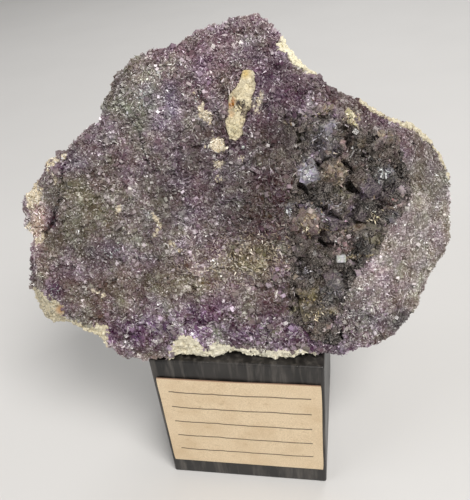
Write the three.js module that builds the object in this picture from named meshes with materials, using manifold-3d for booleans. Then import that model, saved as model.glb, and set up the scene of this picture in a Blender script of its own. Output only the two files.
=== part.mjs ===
// A fluorite specimen on its display block, in millimetres, +Z up.
// The origin is the centre of the block's bottom face. The specimen's front looks along -Y.
import * as THREE from "three";
import { RoundedBoxGeometry } from "three/addons/geometries/RoundedBoxGeometry.js";
import { mergeVertices } from "three/addons/utils/BufferGeometryUtils.js";
import Module from "manifold-3d";

const wasm = await Module();
wasm.setup();

// Driving dimensions
const BLOCK_SIDE = 40; // width and depth of the display block
const BLOCK_HEIGHT = 41;
const BLOCK_EDGE = 0.5; // radius of its edges
const LABEL_WIDTH = 38.5;
const LABEL_HEIGHT = 30.2;
const LABEL_THICKNESS = 0.25;
const LABEL_LEFT = 0.9; // from the block's left edge
const LABEL_DROP = 5.3; // from the block's top edge
const GAP = 0.3; // between neighbouring pieces
const FACE_CENTRE = new THREE.Vector3(0, -5, 77); // of the specimen's front
const FACE_LEAN = 22; // degrees that the front leans back
const FACE_TURN = 5; // degrees that it turns to the right
const CRUST = 2.2; // thickness of the purple crust
const CRUST_LIP = 2.4; // extra thickness where it wraps the rim
const RINGS = 16; // of points across the front and the back
const LAYER_RINGS = 9; // across the surface between the crust and its host
const HOLLOW_DEPTH = 6; // of the hollow under the front
const HOLLOW_RINGS = 5;
const LINING = 1.5; // thickness of crystal growth between the larger crystals
const UNDERSIDE_RISE = 0.34; // per millimetre of depth, nearly cancels the front's lean
const BACK_SCALE = 0.8; // of the back's outline to the front's

// The face plane: u to the right, v up the front and w out of it.
// Outline of the specimen's front, clockwise from its top
const OUTLINE = [
  [8.6, 34.5], [11, 31.8], [13.4, 29.1], [16.6, 24.4], [19.1, 22], [24.1, 17.9],
  [27.6, 16.8], [31.9, 13.6], [36, 11.4], [40.9, 9.9], [43.3, 8.1], [45.1, 5.6],
  [47.2, 1.5], [48, -3.3], [48.1, -7.8], [47.6, -12.6], [47, -17], [44.9, -20.7],
  [43, -22.9], [41.9, -26.6], [40, -30.2], [37.3, -32.5], [33.6, -35.3], [30.2, -37.4],
  [24.5, -36.5], [23, -37], [18.8, -37.2], [13.5, -37.7], [7, -38.3], [4.1, -38],
  [2.4, -37], [-0.4, -37], [-2.7, -37.5], [-6.8, -38], [-16, -37.8], [-27.7, -37.3],
  [-30, -35.6], [-30.9, -33.8], [-32.4, -32.4], [-35.2, -31.4], [-36.8, -30.3],
  [-39, -28.9], [-41.3, -28.9], [-43.7, -27.8], [-45.7, -26.1], [-46.9, -22.4],
  [-47.6, -18.4], [-47.8, -15.6], [-46.5, -12.6], [-45.4, -9.1], [-47.4, -8],
  [-48.3, -6.8], [-47.8, -3.3], [-46.9, 0.3], [-44.5, 2.6], [-42.3, 4.8], [-40.7, 7.6],
  [-38, 8.9], [-34.5, 9.9], [-33.1, 12.5], [-29.3, 14], [-26.9, 16.2], [-24.8, 20.8],
  [-23.3, 23.3], [-20.5, 26.2], [-17.8, 27.8], [-14.8, 28.8], [-10.4, 29.6], [-7, 30],
  [-5.7, 30.8], [-4.5, 31.9], [-2.8, 32.6], [-1, 32.9], [1.1, 33.6], [4.5, 34.2],
];

// Where the crust ends short of the rim: along the upper right, bottom and lower left
const CRUST_OUTLINE = [
  [12.5, 50], [12.3, 29.7], [11.3, 28.4], [11.3, 27.3], [13.4, 25.7], [13.8, 24.4],
  [16.4, 22.9], [16.8, 21.7], [20.6, 21.5], [27, 18.5], [27.9, 15.8], [30.5, 13.6],
  [36, 10.4], [39, 9.3], [42.4, 6.6], [44.3, 4.1], [46.4, 0.3], [47.4, -3], [60, -4],
  [60, -50], [17.6, -50], [17.2, -36.4], [12.2, -35.9], [4.1, -36.3], [-0.6, -35.6],
  [-2.5, -34.6], [-5.6, -33.9], [-6.8, -35.6], [-7.9, -35.5], [-8.7, -33.8],
  [-10.6, -32], [-13.8, -32], [-14.8, -34], [-16.2, -35.2], [-17, -50],
  [-31.4, -50], [-29.7, -31.5], [-29.2, -29.2], [-34, -29.2], [-38.3, -27.5],
  [-38.9, -26], [-38.7, -24.2], [-39.7, -23.3], [-45.6, -19.9], [-60, -18.5], [-60, 50],
];

// The tall cream lump of host rock that stands out through the crust
const LUMP = [
  [5, 23.9], [6.2, 23.6], [6.9, 22.4], [6.5, 21.6], [7, 21.1], [6.8, 19.9], [5.8, 18.8],
  [5.7, 16.5], [4.8, 15.2], [4.7, 13.9], [4, 12.8], [4.1, 12], [3.6, 10.5], [2.7, 10],
  [1.6, 10.3], [0.6, 11.8], [0.4, 13.7], [1.1, 16.2], [1.5, 17.8], [1.2, 18.5],
  [1.6, 19.6], [2.8, 20.1], [3.9, 21.2], [4.1, 23],
];
const LUMP_HEIGHT = 1.3;
const GRAIN = 0.6; // roughness of the front

// The crystal-lined hollow right of the middle
const HOLLOW_CENTRE = [19, -10];
const HOLLOW = [
  [21.4, 15.6], [24.2, 14.2], [28.1, 10.6], [35.3, 8.1], [35.9, 3.1], [37.6, -1.1],
  [37, -4.9], [35, -7.8], [32.2, -8.9], [31.3, -12.2], [30.3, -14.3], [27.3, -16.8],
  [25.8, -19.6], [24.3, -22.8], [23.1, -26.1], [22.6, -29.5], [22.7, -34.8], [19, -35],
  [15.4, -32.5], [13.1, -29.7], [11.7, -27.3], [11.9, -23.5], [12.5, -19], [11.9, -14.6],
  [12.1, -10.3], [11.4, -6], [13.3, -1.9], [14.8, 4.3], [14.9, 10.3], [14.5, 13.8],
  [16.6, 14.8], [19.2, 14.6],
];

// Crystals in the hollow: u, v, height of the centre, side, then turns in degrees
const CRYSTALS = [
  [32.7, 5.6, -1.8, 5.6, 8, -10, 12],
  [30.6, 0.6, -2, 6.4, 38, 20, 30],
  [34, -2.4, -2.6, 4.4, 12, 35, 55],
  [27.4, 8.4, -2.4, 4.4, 30, 12, 70],
  [24.5, 12.4, -2.2, 4, 44, 8, 25],
  [20.5, 10.8, -1.6, 4, 20, 40, 10],
  [21.4, 7.2, -2.2, 4, 50, 22, 64],
  [25.6, 5.2, -3.6, 4.6, 15, 48, 40],
  [17.6, 12, -1.6, 3.4, 34, 30, 5],
  [21.7, 2.4, -1.9, 4.2, 25, -14, 48],
  [17.2, 2, -1.2, 3.6, 42, 16, 20],
  [19.4, -1.8, -2.1, 4.6, 12, 30, 75],
  [23.2, -4.6, -2.4, 5, 36, 44, 15],
  [28.4, -5.4, -4, 5, 20, 20, 60],
  [16, -7.4, -1.4, 5.2, 40, -20, 33],
  [21.6, -9.2, -2.6, 4.8, 28, 33, 80],
  [25.6, -11.6, -3.2, 5, 50, 10, 42],
  [29, -11.8, -2.4, 4.8, 16, 28, 8],
  [14.9, -12.8, -1.6, 4, 30, 38, 54],
  [22.8, -15.9, -2, 4.4, 22, -30, 26],
  [17.7, -16.6, -2, 5.6, 44, 24, 66],
  [15.8, -21.6, -1.4, 4.6, 18, 42, 12],
  [21, -22, -2.2, 5.2, 33, 14, 38],
  [18.2, -26.8, -1.7, 6, 10, 8, 22],
  [15.2, -29.2, -2.8, 3.6, 40, 30, 50],
  [18, -31.4, -2.2, 4.4, 26, 36, 72],
  [20.6, -33.4, -1.9, 3.4, 48, 18, 30],
  [34.2, 2.6, -3, 3.6, 30, 45, 10],
];

// Fracture planes of the broken back: depth at the middle, then its slope along u and v
const BACK_PLANES = [
  [25, 0.04, -0.3],
  [37, 0.62, -0.16],
  [39, -0.66, -0.12],
  [34, 0.32, -0.78],
  [32, -0.3, -0.62],
  [33, 0.1, 0.05],
];

// Stations round the rim from the front to the back: share of the way, share of the outline
const RIM = [
  [0.16, 1],
  [0.48, 0.955],
  [0.8, 0.885],
];

const smooth = THREE.MathUtils.smoothstep;
const degrees = THREE.MathUtils.degToRad;

// A repeatable number from 0 to 1 for each pair of numbers
function chance(a, b) {
  const s = Math.sin(a * 127.1 + b * 311.7) * 43758.5453;
  return s - Math.floor(s);
}

// Smooth lumps of about one unit across, from -1 to 1
function lumps(x, y) {
  const i = Math.floor(x);
  const j = Math.floor(y);
  const a = smooth(x - i, 0, 1);
  const b = smooth(y - j, 0, 1);
  const low = THREE.MathUtils.lerp(chance(i, j), chance(i + 1, j), a);
  const high = THREE.MathUtils.lerp(chance(i, j + 1), chance(i + 1, j + 1), a);
  return 2 * THREE.MathUtils.lerp(low, high, b) - 1;
}

// Distance from a centre to an outline in the direction of an angle
function reach(outline, centre, angle) {
  const dx = Math.cos(angle);
  const dy = Math.sin(angle);
  let best = 0;
  for (let i = 0; i < outline.length; i += 1) {
    const [ax, ay] = outline[i];
    const [bx, by] = outline[(i + 1) % outline.length];
    const ex = bx - ax;
    const ey = by - ay;
    const cross = dx * ey - dy * ex;
    const along = ((ax - centre[0]) * ey - (ay - centre[1]) * ex) / cross;
    const share = ((ax - centre[0]) * dy - (ay - centre[1]) * dx) / cross;
    if (along > 0 && share >= 0 && share <= 1) best = Math.max(best, along);
  }
  return best;
}

// How far a point lies from the middle of the front, as a share of the way to its outline
function shareOut(u, v) {
  return Math.hypot(u, v) / reach(OUTLINE, [0, 0], Math.atan2(v, u));
}

// Signed distance of a point to the right of the line from a to b
function rightOf(u, v, a, b) {
  const length = Math.hypot(b[0] - a[0], b[1] - a[1]);
  return ((u - a[0]) * (a[1] - b[1]) + (v - a[1]) * (b[0] - a[0])) / -length;
}

// The front's broad shape: a gently rolling field, a flank that falls away at the right
// and a ledge at the left behind a crack
function fieldHeight(u, v) {
  const roll = 0.8 * lumps(u / 14 + 3, v / 13) + 0.5 * lumps(u / 6, v / 6 + 9);
  const beyondRidge = rightOf(u, v, [24, -36], [37, 12]);
  const ridge = 1.2 * Math.exp(-((beyondRidge / 5) ** 2));
  const flank = -0.42 * Math.max(beyondRidge - 1, 0);
  const shoulder = -0.3 * Math.max(rightOf(u, v, [47, 2], [18, 22]) + 14, 0) * smooth(u, 14, 26);
  const ledge = -2 * smooth(rightOf(u, v, [-34.6, 9], [-41.5, -8.5]), -0.2, 2.2) * smooth(v, -9, -6);
  return roll + ridge + Math.max(flank + shoulder, -9) + ledge;
}

// The front with its rounded rim
function frontHeight(u, v) {
  const out = shareOut(u, v);
  const drop = 1.1 * smooth(out, 0.86, 0.97) + 1.4 * smooth(out, 0.95, 1);
  return fieldHeight(u, v) - drop * (1 - 0.75 * smooth(-v, 26, 34));
}

// Standing lump of host rock on the front
function lumpHeight(u, v) {
  const along = rightOf(u, v, [1.8, 10], [5.8, 24]);
  return LUMP_HEIGHT * Math.exp(-((along / 2.2) ** 2)) * smooth(v, 8, 12) * smooth(-v, -25, -21);
}

// Depth of the broken back behind the face plane
function backDepth(u, v) {
  const planes = BACK_PLANES.map(([middle, alongU, alongV]) => middle + alongU * u + alongV * v);
  const ledge = 2.6 * smooth(u + 0.5 * v, 3, 5.5) - 2 * smooth(v - 0.3 * u, 9, 11);
  return Math.max(Math.min(...planes) + ledge, 9) + 1.4 * lumps(u / 9, v / 8) + 0.8 * lumps(u / 4, v / 4 + 5);
}

// Points in rings round a middle point, with 6 more in each ring than in the last
function ringPoints(rings) {
  const points = [{ out: 0, angle: 0 }];
  for (let ring = 1; ring <= rings; ring += 1) {
    for (let i = 0; i < 6 * ring; i += 1) {
      points.push({ out: ring / rings, angle: (Math.PI * i) / (3 * ring) });
    }
  }
  return points;
}

// Triangles between those points, facing the viewer, as indices from a first point
function ringFaces(rings, first) {
  const faces = [];
  const at = (ring, i) => first + (ring ? 1 + 3 * ring * (ring - 1) + (i % (6 * ring)) : 0);
  for (let ring = 1; ring <= rings; ring += 1) {
    for (let sector = 0; sector < 6; sector += 1) {
      for (let i = 0; i < ring; i += 1) {
        const outer = sector * ring + i;
        const inner = sector * (ring - 1) + i;
        faces.push([at(ring, outer), at(ring, outer + 1), at(ring - 1, inner)]);
        if (i < ring - 1) faces.push([at(ring - 1, inner), at(ring, outer + 1), at(ring - 1, inner + 1)]);
      }
    }
  }
  return faces;
}

// Triangles of a band between two rings of points
function bandFaces(count, front, back) {
  const faces = [];
  for (let i = 0; i < count; i += 1) {
    const next = (i + 1) % count;
    faces.push([front + i, back + i, back + next], [front + i, back + next, front + next]);
  }
  return faces;
}

function turned(faces) {
  return faces.map(([a, b, c]) => [a, c, b]);
}

function shell(points, faces) {
  const geometry = new THREE.BufferGeometry();
  geometry.setAttribute("position", new THREE.Float32BufferAttribute(points.flat(), 3));
  geometry.setIndex(faces.flat());
  return geometry;
}

// A closed solid for cutting and joining
function solid(geometry) {
  const plain = geometry.clone();
  plain.deleteAttribute("normal");
  plain.deleteAttribute("uv");
  const merged = mergeVertices(plain);
  const vertProperties = new Float32Array(merged.attributes.position.array);
  const triVerts = new Uint32Array(merged.index.array);
  return new wasm.Manifold(new wasm.Mesh({ numProp: 3, vertProperties, triVerts }));
}

// The shape of a cut solid, without specks smaller than a cubic millimetre
function geometryOf(manifold) {
  const pieces = manifold.decompose().sort((a, b) => b.volume() - a.volume());
  const mesh = pieces[0].getMesh();
  const geometry = new THREE.BufferGeometry();
  geometry.setAttribute("position", new THREE.Float32BufferAttribute(mesh.vertProperties, 3));
  geometry.setIndex([...mesh.triVerts]);
  const faceted = geometry.toNonIndexed();
  faceted.computeVertexNormals();
  return faceted;
}

// An outline moved outwards by a distance
function grown(outline, distance) {
  return outline.map((point, i) => {
    const before = outline.at(i - 1);
    const after = outline[(i + 1) % outline.length];
    const along = new THREE.Vector2(after[0] - before[0], after[1] - before[1]).normalize();
    return [point[0] - along.y * distance, point[1] + along.x * distance];
  });
}

// A straight column of an outline between two heights
function column(outline, low, high) {
  const shape = new THREE.Shape(outline.map(([u, v]) => new THREE.Vector2(u, v)));
  const geometry = new THREE.ExtrudeGeometry(shape, { depth: high - low, bevelEnabled: false });
  return solid(geometry.translate(0, 0, low));
}

// The whole specimen: the front, a rim that tapers backwards and the broken back
function wholeRock() {
  const around = 6 * RINGS;
  const sites = ringPoints(RINGS);
  const rim = sites.slice(-around);
  const points = [];
  const place = (site, scale, height) => {
    const radius = site.out * scale * reach(OUTLINE, [0, 0], site.angle);
    const u = radius * Math.cos(site.angle);
    const v = radius * Math.sin(site.angle);
    const w = height(u, v);
    const low = smooth(-v, 6, 34);
    points.push([u, v + UNDERSIDE_RISE * low * Math.max(-w - 3, 0), w]);
  };
  const frontOf = (u, v) => frontHeight(u, v) + lumpHeight(u, v) + GRAIN * (chance(u, v) - 0.5);
  const backScale = (angle) => THREE.MathUtils.lerp(BACK_SCALE, 1, smooth(-Math.sin(angle), 0.5, 0.8));

  for (const site of sites) {
    const inside = site.out < 0.97 && site.out > 0 ? 0.016 : 0;
    const shaken = {
      out: site.out + inside * (chance(site.out * 50, site.angle) - 0.5),
      angle: site.angle + inside * (chance(site.angle, site.out * 70) - 0.5),
    };
    place(shaken, 1, frontOf);
  }
  RIM.forEach(([share, scale], step) => {
    for (const site of rim) {
      const towards = THREE.MathUtils.lerp(scale, 1, smooth(-Math.sin(site.angle), 0.5, 0.8));
      const rough = 1 + 0.02 * lumps(site.angle * 7, step * 3.3) * (step + 0.3);
      const edge = reach(OUTLINE, [0, 0], site.angle);
      const c = Math.cos(site.angle) * edge;
      const s = Math.sin(site.angle) * edge;
      const back = backScale(site.angle);
      const height = THREE.MathUtils.lerp(frontOf(c, s), -backDepth(c * back, s * back), share);
      place(site, towards * rough, () => height);
    }
  });
  for (const site of sites) place(site, backScale(site.angle), (u, v) => -backDepth(u, v));

  const front = sites.length - around;
  const firstBack = sites.length + RIM.length * around;
  const faces = [...ringFaces(RINGS, 0), ...turned(ringFaces(RINGS, firstBack))];
  const starts = [front, ...RIM.map((_, i) => sites.length + i * around), firstBack + front];
  for (let i = 0; i + 1 < starts.length; i += 1) faces.push(...bandFaces(around, starts[i], starts[i + 1]));
  return solid(shell(points, faces));
}

// Everything in front of a surface, out to a wide rim
function inFrontOf(surface, outline, centre, rings, scale) {
  const around = 6 * rings;
  const sites = ringPoints(rings);
  const low = sites.map((site) => {
    const radius = site.out * scale * reach(outline, centre, site.angle);
    const u = centre[0] + radius * Math.cos(site.angle);
    const v = centre[1] + radius * Math.sin(site.angle);
    return [u, v, surface(u, v, site.out)];
  });
  const high = low.map(([u, v]) => [u, v, 15]);
  const edge = sites.length - around;
  const faces = [...turned(ringFaces(rings, 0)), ...ringFaces(rings, sites.length)];
  faces.push(...bandFaces(around, sites.length + edge, edge));
  return solid(shell([...low, ...high], faces));
}

// The side of the crust's lower surface where the crust lies, sunk by an extra depth
function crustSide(sunk) {
  const under = (u, v) => {
    const share = Math.min(shareOut(u, v), 1);
    const scale = share > 0 ? share / shareOut(u, v) : 1;
    const lip = CRUST_LIP * smooth(share, 0.88, 0.98);
    return frontHeight(u * scale, v * scale) - CRUST - lip - sunk;
  };
  return inFrontOf(under, OUTLINE, [0, 0], LAYER_RINGS, 1.06);
}

// The hollow's bowl, raised by an extra height
function hollowBowl(outline, raised) {
  const floor = (u, v, out) => fieldHeight(u, v) - HOLLOW_DEPTH * (1 - 0.75 * out ** 3) + raised;
  return inFrontOf(floor, outline, HOLLOW_CENTRE, HOLLOW_RINGS, 1);
}

function cube([u, v, w, side, turnU, turnV, turnW]) {
  const geometry = new THREE.BoxGeometry(side, side, side);
  const turns = new THREE.Euler(degrees(turnU), degrees(turnV), degrees(turnW));
  geometry.applyMatrix4(new THREE.Matrix4().makeRotationFromEuler(turns));
  return solid(geometry.translate(u, v, w + fieldHeight(u, v)));
}

// Space below the block's top, seen from the tilted face plane
function belowSeat(face) {
  const depth = 100;
  const geometry = new THREE.BoxGeometry(3 * depth, 3 * depth, depth);
  geometry.translate(0, 0, BLOCK_HEIGHT + GAP - depth / 2);
  return solid(geometry.applyMatrix4(face.matrixWorld.clone().invert()));
}

function piece(name, geometry, colour, roughness) {
  const material = new THREE.MeshStandardMaterial({ color: colour, roughness, metalness: 0 });
  const mesh = new THREE.Mesh(geometry, material);
  mesh.name = name;
  return mesh;
}

function specimen() {
  const face = new THREE.Group();
  face.position.copy(FACE_CENTRE);
  face.rotation.set(degrees(90 - FACE_LEAN), 0, degrees(FACE_TURN), "ZYX");
  face.updateMatrixWorld();

  const rock = wholeRock().subtract(belowSeat(face));
  const crustArea = column(CRUST_OUTLINE, -14, 14);
  const wideCrustArea = column(grown(CRUST_OUTLINE, GAP), -15, 15);
  const lump = column(LUMP, -15, 15);
  const wideLump = column(grown(LUMP, GAP), -15, 15);
  const mouth = column(grown(HOLLOW, GAP), -15, 15);
  const bowl = hollowBowl(grown(HOLLOW, GAP), 0);
  const innerBowl = hollowBowl(HOLLOW, GAP);
  const aboveLining = hollowBowl(HOLLOW, GAP + LINING);

  const crust = rock.intersect(crustSide(0)).intersect(crustArea).subtract(wideLump).subtract(mouth);
  const crustSpace = crustSide(GAP).intersect(wideCrustArea).subtract(lump);
  const host = rock.subtract(crustSpace).subtract(bowl);
  let crystals = innerBowl.subtract(aboveLining);
  for (const crystal of CRYSTALS) crystals = crystals.add(cube(crystal));
  crystals = crystals.intersect(innerBowl).intersect(column(HOLLOW, -15, 15));

  face.add(piece("host_rock", geometryOf(host), 0xd9cda9, 0.85));
  face.add(piece("fluorite_crust", geometryOf(crust), 0x54495a, 0.45));
  face.add(piece("hollow_crystals", geometryOf(crystals), 0x2e2632, 0.2));
  return face;
}

function displayBlock() {
  const geometry = new RoundedBoxGeometry(BLOCK_SIDE, BLOCK_SIDE, BLOCK_HEIGHT, 2, BLOCK_EDGE);
  const block = piece("display_block", geometry, 0x1d1b1c, 0.35);
  block.position.z = BLOCK_HEIGHT / 2;
  return block;
}

function label() {
  const geometry = new THREE.BoxGeometry(LABEL_WIDTH, LABEL_THICKNESS, LABEL_HEIGHT);
  const paper = piece("paper_label", geometry, 0xe2d2b4, 0.8);
  paper.position.set(
    LABEL_LEFT + LABEL_WIDTH / 2 - BLOCK_SIDE / 2,
    -BLOCK_SIDE / 2 - GAP - LABEL_THICKNESS / 2,
    BLOCK_HEIGHT - LABEL_DROP - LABEL_HEIGHT / 2,
  );
  return paper;
}

const part = new THREE.Group();
part.add(specimen(), displayBlock(), label());

export default part;
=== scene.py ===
"""A fluorite specimen on its display block: surfaces, crystals, materials, light and camera."""

import math
from collections import namedtuple
from itertools import product

import bmesh
import bpy
import numpy as np
from mathutils import Matrix, Vector
from mathutils.bvhtree import BVHTree


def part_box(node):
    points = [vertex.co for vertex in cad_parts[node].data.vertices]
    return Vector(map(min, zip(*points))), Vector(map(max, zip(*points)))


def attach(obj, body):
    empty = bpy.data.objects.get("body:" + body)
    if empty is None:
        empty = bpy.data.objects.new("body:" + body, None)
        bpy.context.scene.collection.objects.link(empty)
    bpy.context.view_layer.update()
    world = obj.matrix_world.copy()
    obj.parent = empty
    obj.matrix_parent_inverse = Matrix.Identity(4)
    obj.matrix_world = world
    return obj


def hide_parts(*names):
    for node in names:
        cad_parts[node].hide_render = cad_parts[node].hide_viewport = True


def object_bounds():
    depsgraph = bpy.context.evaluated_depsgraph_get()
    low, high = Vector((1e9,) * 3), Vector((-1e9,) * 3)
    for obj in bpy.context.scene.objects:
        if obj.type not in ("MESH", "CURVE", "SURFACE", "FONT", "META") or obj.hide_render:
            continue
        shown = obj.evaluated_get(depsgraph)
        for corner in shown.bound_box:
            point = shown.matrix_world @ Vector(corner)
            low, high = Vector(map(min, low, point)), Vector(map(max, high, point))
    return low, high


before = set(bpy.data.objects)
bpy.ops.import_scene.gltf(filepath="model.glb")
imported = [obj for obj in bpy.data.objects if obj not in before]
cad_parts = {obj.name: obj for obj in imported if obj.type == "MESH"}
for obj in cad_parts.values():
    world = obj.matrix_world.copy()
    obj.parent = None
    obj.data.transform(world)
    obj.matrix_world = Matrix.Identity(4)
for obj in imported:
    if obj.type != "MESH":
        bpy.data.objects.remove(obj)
cad_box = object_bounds()

MM = 0.001
BOX_LOW, BOX_HIGH = np.array(cad_box)

# The plane of the specimen's front, in mm: u to the right, v up the front, w out of it
FACE_CENTRE = (0, -5, 77)
FACE_LEAN = 22
FACE_TURN = 5
FACE = (
    Matrix.Translation(Vector(FACE_CENTRE) * MM)
    @ Matrix.Rotation(math.radians(FACE_TURN), 4, "Z")
    @ Matrix.Rotation(math.radians(90 - FACE_LEAN), 4, "X")
)
FACE_AXES = np.array(FACE.to_3x3())
FACE_ORIGIN = np.array(FACE.translation)

# Where looks into the front start in mm, the level where they meet nothing, and a number past
# any distance
FRONT_REACH = 30
NOTHING = -99
FAR = 99

rng = np.random.default_rng(7)


# Numbers that vary over space

# Odd numbers that turn a cell's place into chance, and the bits of it that count
SCATTER = (73856093, 19349663, 83492791, 40503)
STIR = (1274126177, 668265263)
LAST_BITS = 0xFFFFFF


def chance(cells, seed):
    """A repeatable number from 0 to 1 for each whole-number cell."""
    h = seed * SCATTER[3]
    for axis in range(3):
        h = h ^ cells[:, axis] * SCATTER[axis]
    h = (h ^ (h >> 13)) * STIR[0]
    h = (h ^ (h >> 16)) * STIR[1]
    return ((h ^ (h >> 15)) & LAST_BITS) / LAST_BITS


def chances(cells, seed):
    """Three such numbers for each cell."""
    return np.stack([chance(cells, seed + k) for k in range(3)], axis=1)


def lumps(points, size, seed=0):
    """Smooth noise from -1 to 1 with lumps of one size."""
    scaled = points / size
    cells = np.floor(scaled).astype(np.int64)
    part = scaled - cells
    part = part * part * (3 - 2 * part)
    total = np.zeros(len(points))
    for corner in product((0, 1), repeat=3):
        weight = np.prod(np.where(corner, part, 1 - part), axis=1)
        total += weight * chance(cells + corner, seed)
    return 2 * total - 1


def rough(points, size, octaves, seed=0):
    """Noise with finer and finer lumps."""
    layers = [lumps(points, size / 2**i, seed + i) / 2**i for i in range(octaves)]
    return sum(layers) / 1.6


def nearest_cells(points, size, seed):
    """The nearest of scattered seeds to each point: its cell, and the way from it to the point."""
    scaled = points / size
    base = np.floor(scaled).astype(np.int64)
    nearest = np.full(len(points), float(FAR))
    chosen = base.copy()
    away = np.zeros(points.shape)
    for step in product((-1, 0, 1), repeat=3):
        cells = base + step
        offset = scaled - cells - chances(cells, seed)
        distance = (offset**2).sum(axis=1)
        nearer = distance < nearest
        nearest = np.where(nearer, distance, nearest)
        chosen[nearer] = cells[nearer]
        away[nearer] = offset[nearer]
    return chosen, away


def chips(points, size, seed=0):
    """Flat facets of one size, each tilted its own way, as where rock breaks grain by grain."""
    cells, away = nearest_cells(points, size, seed)
    tilt = chances(cells, seed + 3) - 0.5
    return (away * tilt).sum(axis=1) * 2 + tilt[:, 0]


def facets(points, size, seed=0):
    """A number from -1 to 1 for each facet of one size."""
    cells, _ = nearest_cells(points, size, seed)
    return 2 * chance(cells, seed + 6) - 1


def smooth(values, low, high):
    """Zero below one value and one above another, with a soft step between."""
    part = np.clip((values - low) / (high - low), 0, 1)
    return part * part * (3 - 2 * part)


def to_face(points):
    """Points in metres as u, v and w in mm."""
    return (points - FACE_ORIGIN) @ FACE_AXES / MM


def from_face(points):
    """Places u, v and w in mm as points in metres."""
    return np.asarray(points) * MM @ FACE_AXES.T + FACE_ORIGIN


def off_line(u, v, line):
    """Distance in mm from each place on the front to a line of points."""
    nearest = np.full(len(u), float(FAR))
    for (au, av), (bu, bv) in zip(line, line[1:]):
        along = ((u - au) * (bu - au) + (v - av) * (bv - av)) / ((bu - au) ** 2 + (bv - av) ** 2)
        along = np.clip(along, 0, 1)
        nearest = np.minimum(nearest, np.hypot(u - au - along * (bu - au), v - av - along * (bv - av)))
    return nearest


def inside_oval(u, v, middle, across, up, turn):
    """Squared distance from the middle of a turned oval, 1 at its edge."""
    c, s = math.cos(math.radians(turn)), math.sin(math.radians(turn))
    du, dv = u - middle[0], v - middle[1]
    return ((du * c + dv * s) / across) ** 2 + ((dv * c - du * s) / up) ** 2


# Meshes

# Where looks out from a surface start, and how far they reach
OFF_SURFACE = 0.05 * MM
CLOSE_REACH = 0.8 * MM
OPEN_REACH = 4 * MM
BORDER_REACH = 6 * MM


def threes(items, name, kind=float):
    """The three values that each item has under a name."""
    values = np.empty(len(items) * 3, dtype=kind)
    items.foreach_get(name, values)
    return values.reshape(-1, 3)


def corners_of(mesh):
    """Where a mesh's corners are."""
    return threes(mesh.vertices, "co")


def normals_of(mesh):
    """The surface's direction at each corner."""
    return threes(mesh.vertex_normals, "vector")


def triangles_of(mesh):
    """The corner numbers of a mesh's triangles."""
    mesh.calc_loop_triangles()
    return threes(mesh.loop_triangles, "vertices", np.int64)


def shown(name, mesh, material, slot, *nodes):
    """Shows a mesh as a piece of the object, standing for the nodes named, and returns it."""
    mesh.materials.append(material)
    piece = bpy.data.objects.new(name, mesh)
    bpy.context.collection.objects.link(piece)
    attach(piece, "root")
    if nodes:
        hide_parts(*nodes)
    return mesh


def fine_copy(node, voxel):
    """A node's surface in small even faces."""
    copy = bpy.data.objects.new("copy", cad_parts[node].data.copy())
    bpy.context.collection.objects.link(copy)
    remesh = copy.modifiers.new("fine", "REMESH")
    remesh.mode = "VOXEL"
    remesh.voxel_size = voxel
    shape = copy.evaluated_get(bpy.context.evaluated_depsgraph_get())
    mesh = bpy.data.meshes.new_from_object(shape)
    mesh.materials.clear()
    bpy.data.objects.remove(copy)
    return mesh


def reshape(mesh, points):
    """Moves a mesh's corners, never out of the whole object's box."""
    inside = np.clip(points, BOX_LOW, BOX_HIGH)
    mesh.vertices.foreach_set("co", inside.ravel())
    mesh.update()


def push_out(mesh, points, height):
    """Moves a mesh's corners out from its surface by heights in mm."""
    reshape(mesh, points + normals_of(mesh) * height[:, None] * MM)


def mesh_of(name, vertices, loops, sizes):
    """A mesh from its corners, the corner numbers of all faces in a row, and each face's size."""
    mesh = bpy.data.meshes.new(name)
    mesh.vertices.add(len(vertices))
    mesh.vertices.foreach_set("co", vertices.ravel())
    mesh.loops.add(len(loops))
    mesh.loops.foreach_set("vertex_index", loops.astype(np.int32))
    mesh.polygons.add(len(sizes))
    starts = np.concatenate([[0], np.cumsum(sizes)[:-1]])
    mesh.polygons.foreach_set("loop_start", starts.astype(np.int32))
    mesh.update(calc_edges=True)
    mesh.shade_flat()
    return mesh


def paint(mesh, colours, domain):
    """Gives a mesh the colours that its material takes as its tint."""
    attribute = mesh.color_attributes.new("tint", "FLOAT_COLOR", domain)
    full = np.ones((len(colours), 4))
    full[:, :3] = np.clip(colours, 0, 1)
    attribute.data.foreach_set("color", full.ravel())


def tree_of(*meshes):
    """A search tree over meshes."""
    points = []
    triangles = []
    for mesh in meshes:
        triangles.extend((triangles_of(mesh) + len(points)).tolist())
        points.extend(corners_of(mesh).tolist())
    return BVHTree.FromPolygons(points, triangles)


def node_tree(*nodes):
    """A search tree over the solids of the nodes named."""
    return tree_of(*(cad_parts[node].data for node in nodes))


def distances(tree, points):
    """Distances in mm of points from a tree's surface."""
    return np.array([tree.find_nearest(Vector(p))[3] for p in points]) / MM


def exposed(tree, places, normals, reach=CLOSE_REACH):
    """Whether nothing of a tree's surface lies within reach in front of each place."""
    seen = []
    for place, normal in zip(places, normals):
        start = Vector(place + normal * OFF_SURFACE)
        seen.append(tree.ray_cast(start, Vector(normal), reach)[0] is None)
    return np.array(seen)


def front_level(tree, places):
    """How far out in mm a tree's surface lies at u, v places, or NOTHING if it isn't there."""
    into = -Vector(FACE_AXES[:, 2])
    levels = []
    for u, v in places:
        start = Vector(from_face((u, v, FRONT_REACH)))
        hit, _, _, distance = tree.ray_cast(start, into)
        levels.append(FRONT_REACH - distance / MM if hit else NOTHING)
    return np.array(levels)


def from_front(tree, places):
    """Where lines straight into the front at u, v places meet a tree's surface."""
    return from_face(np.column_stack([places, front_level(tree, places)]))


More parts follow.
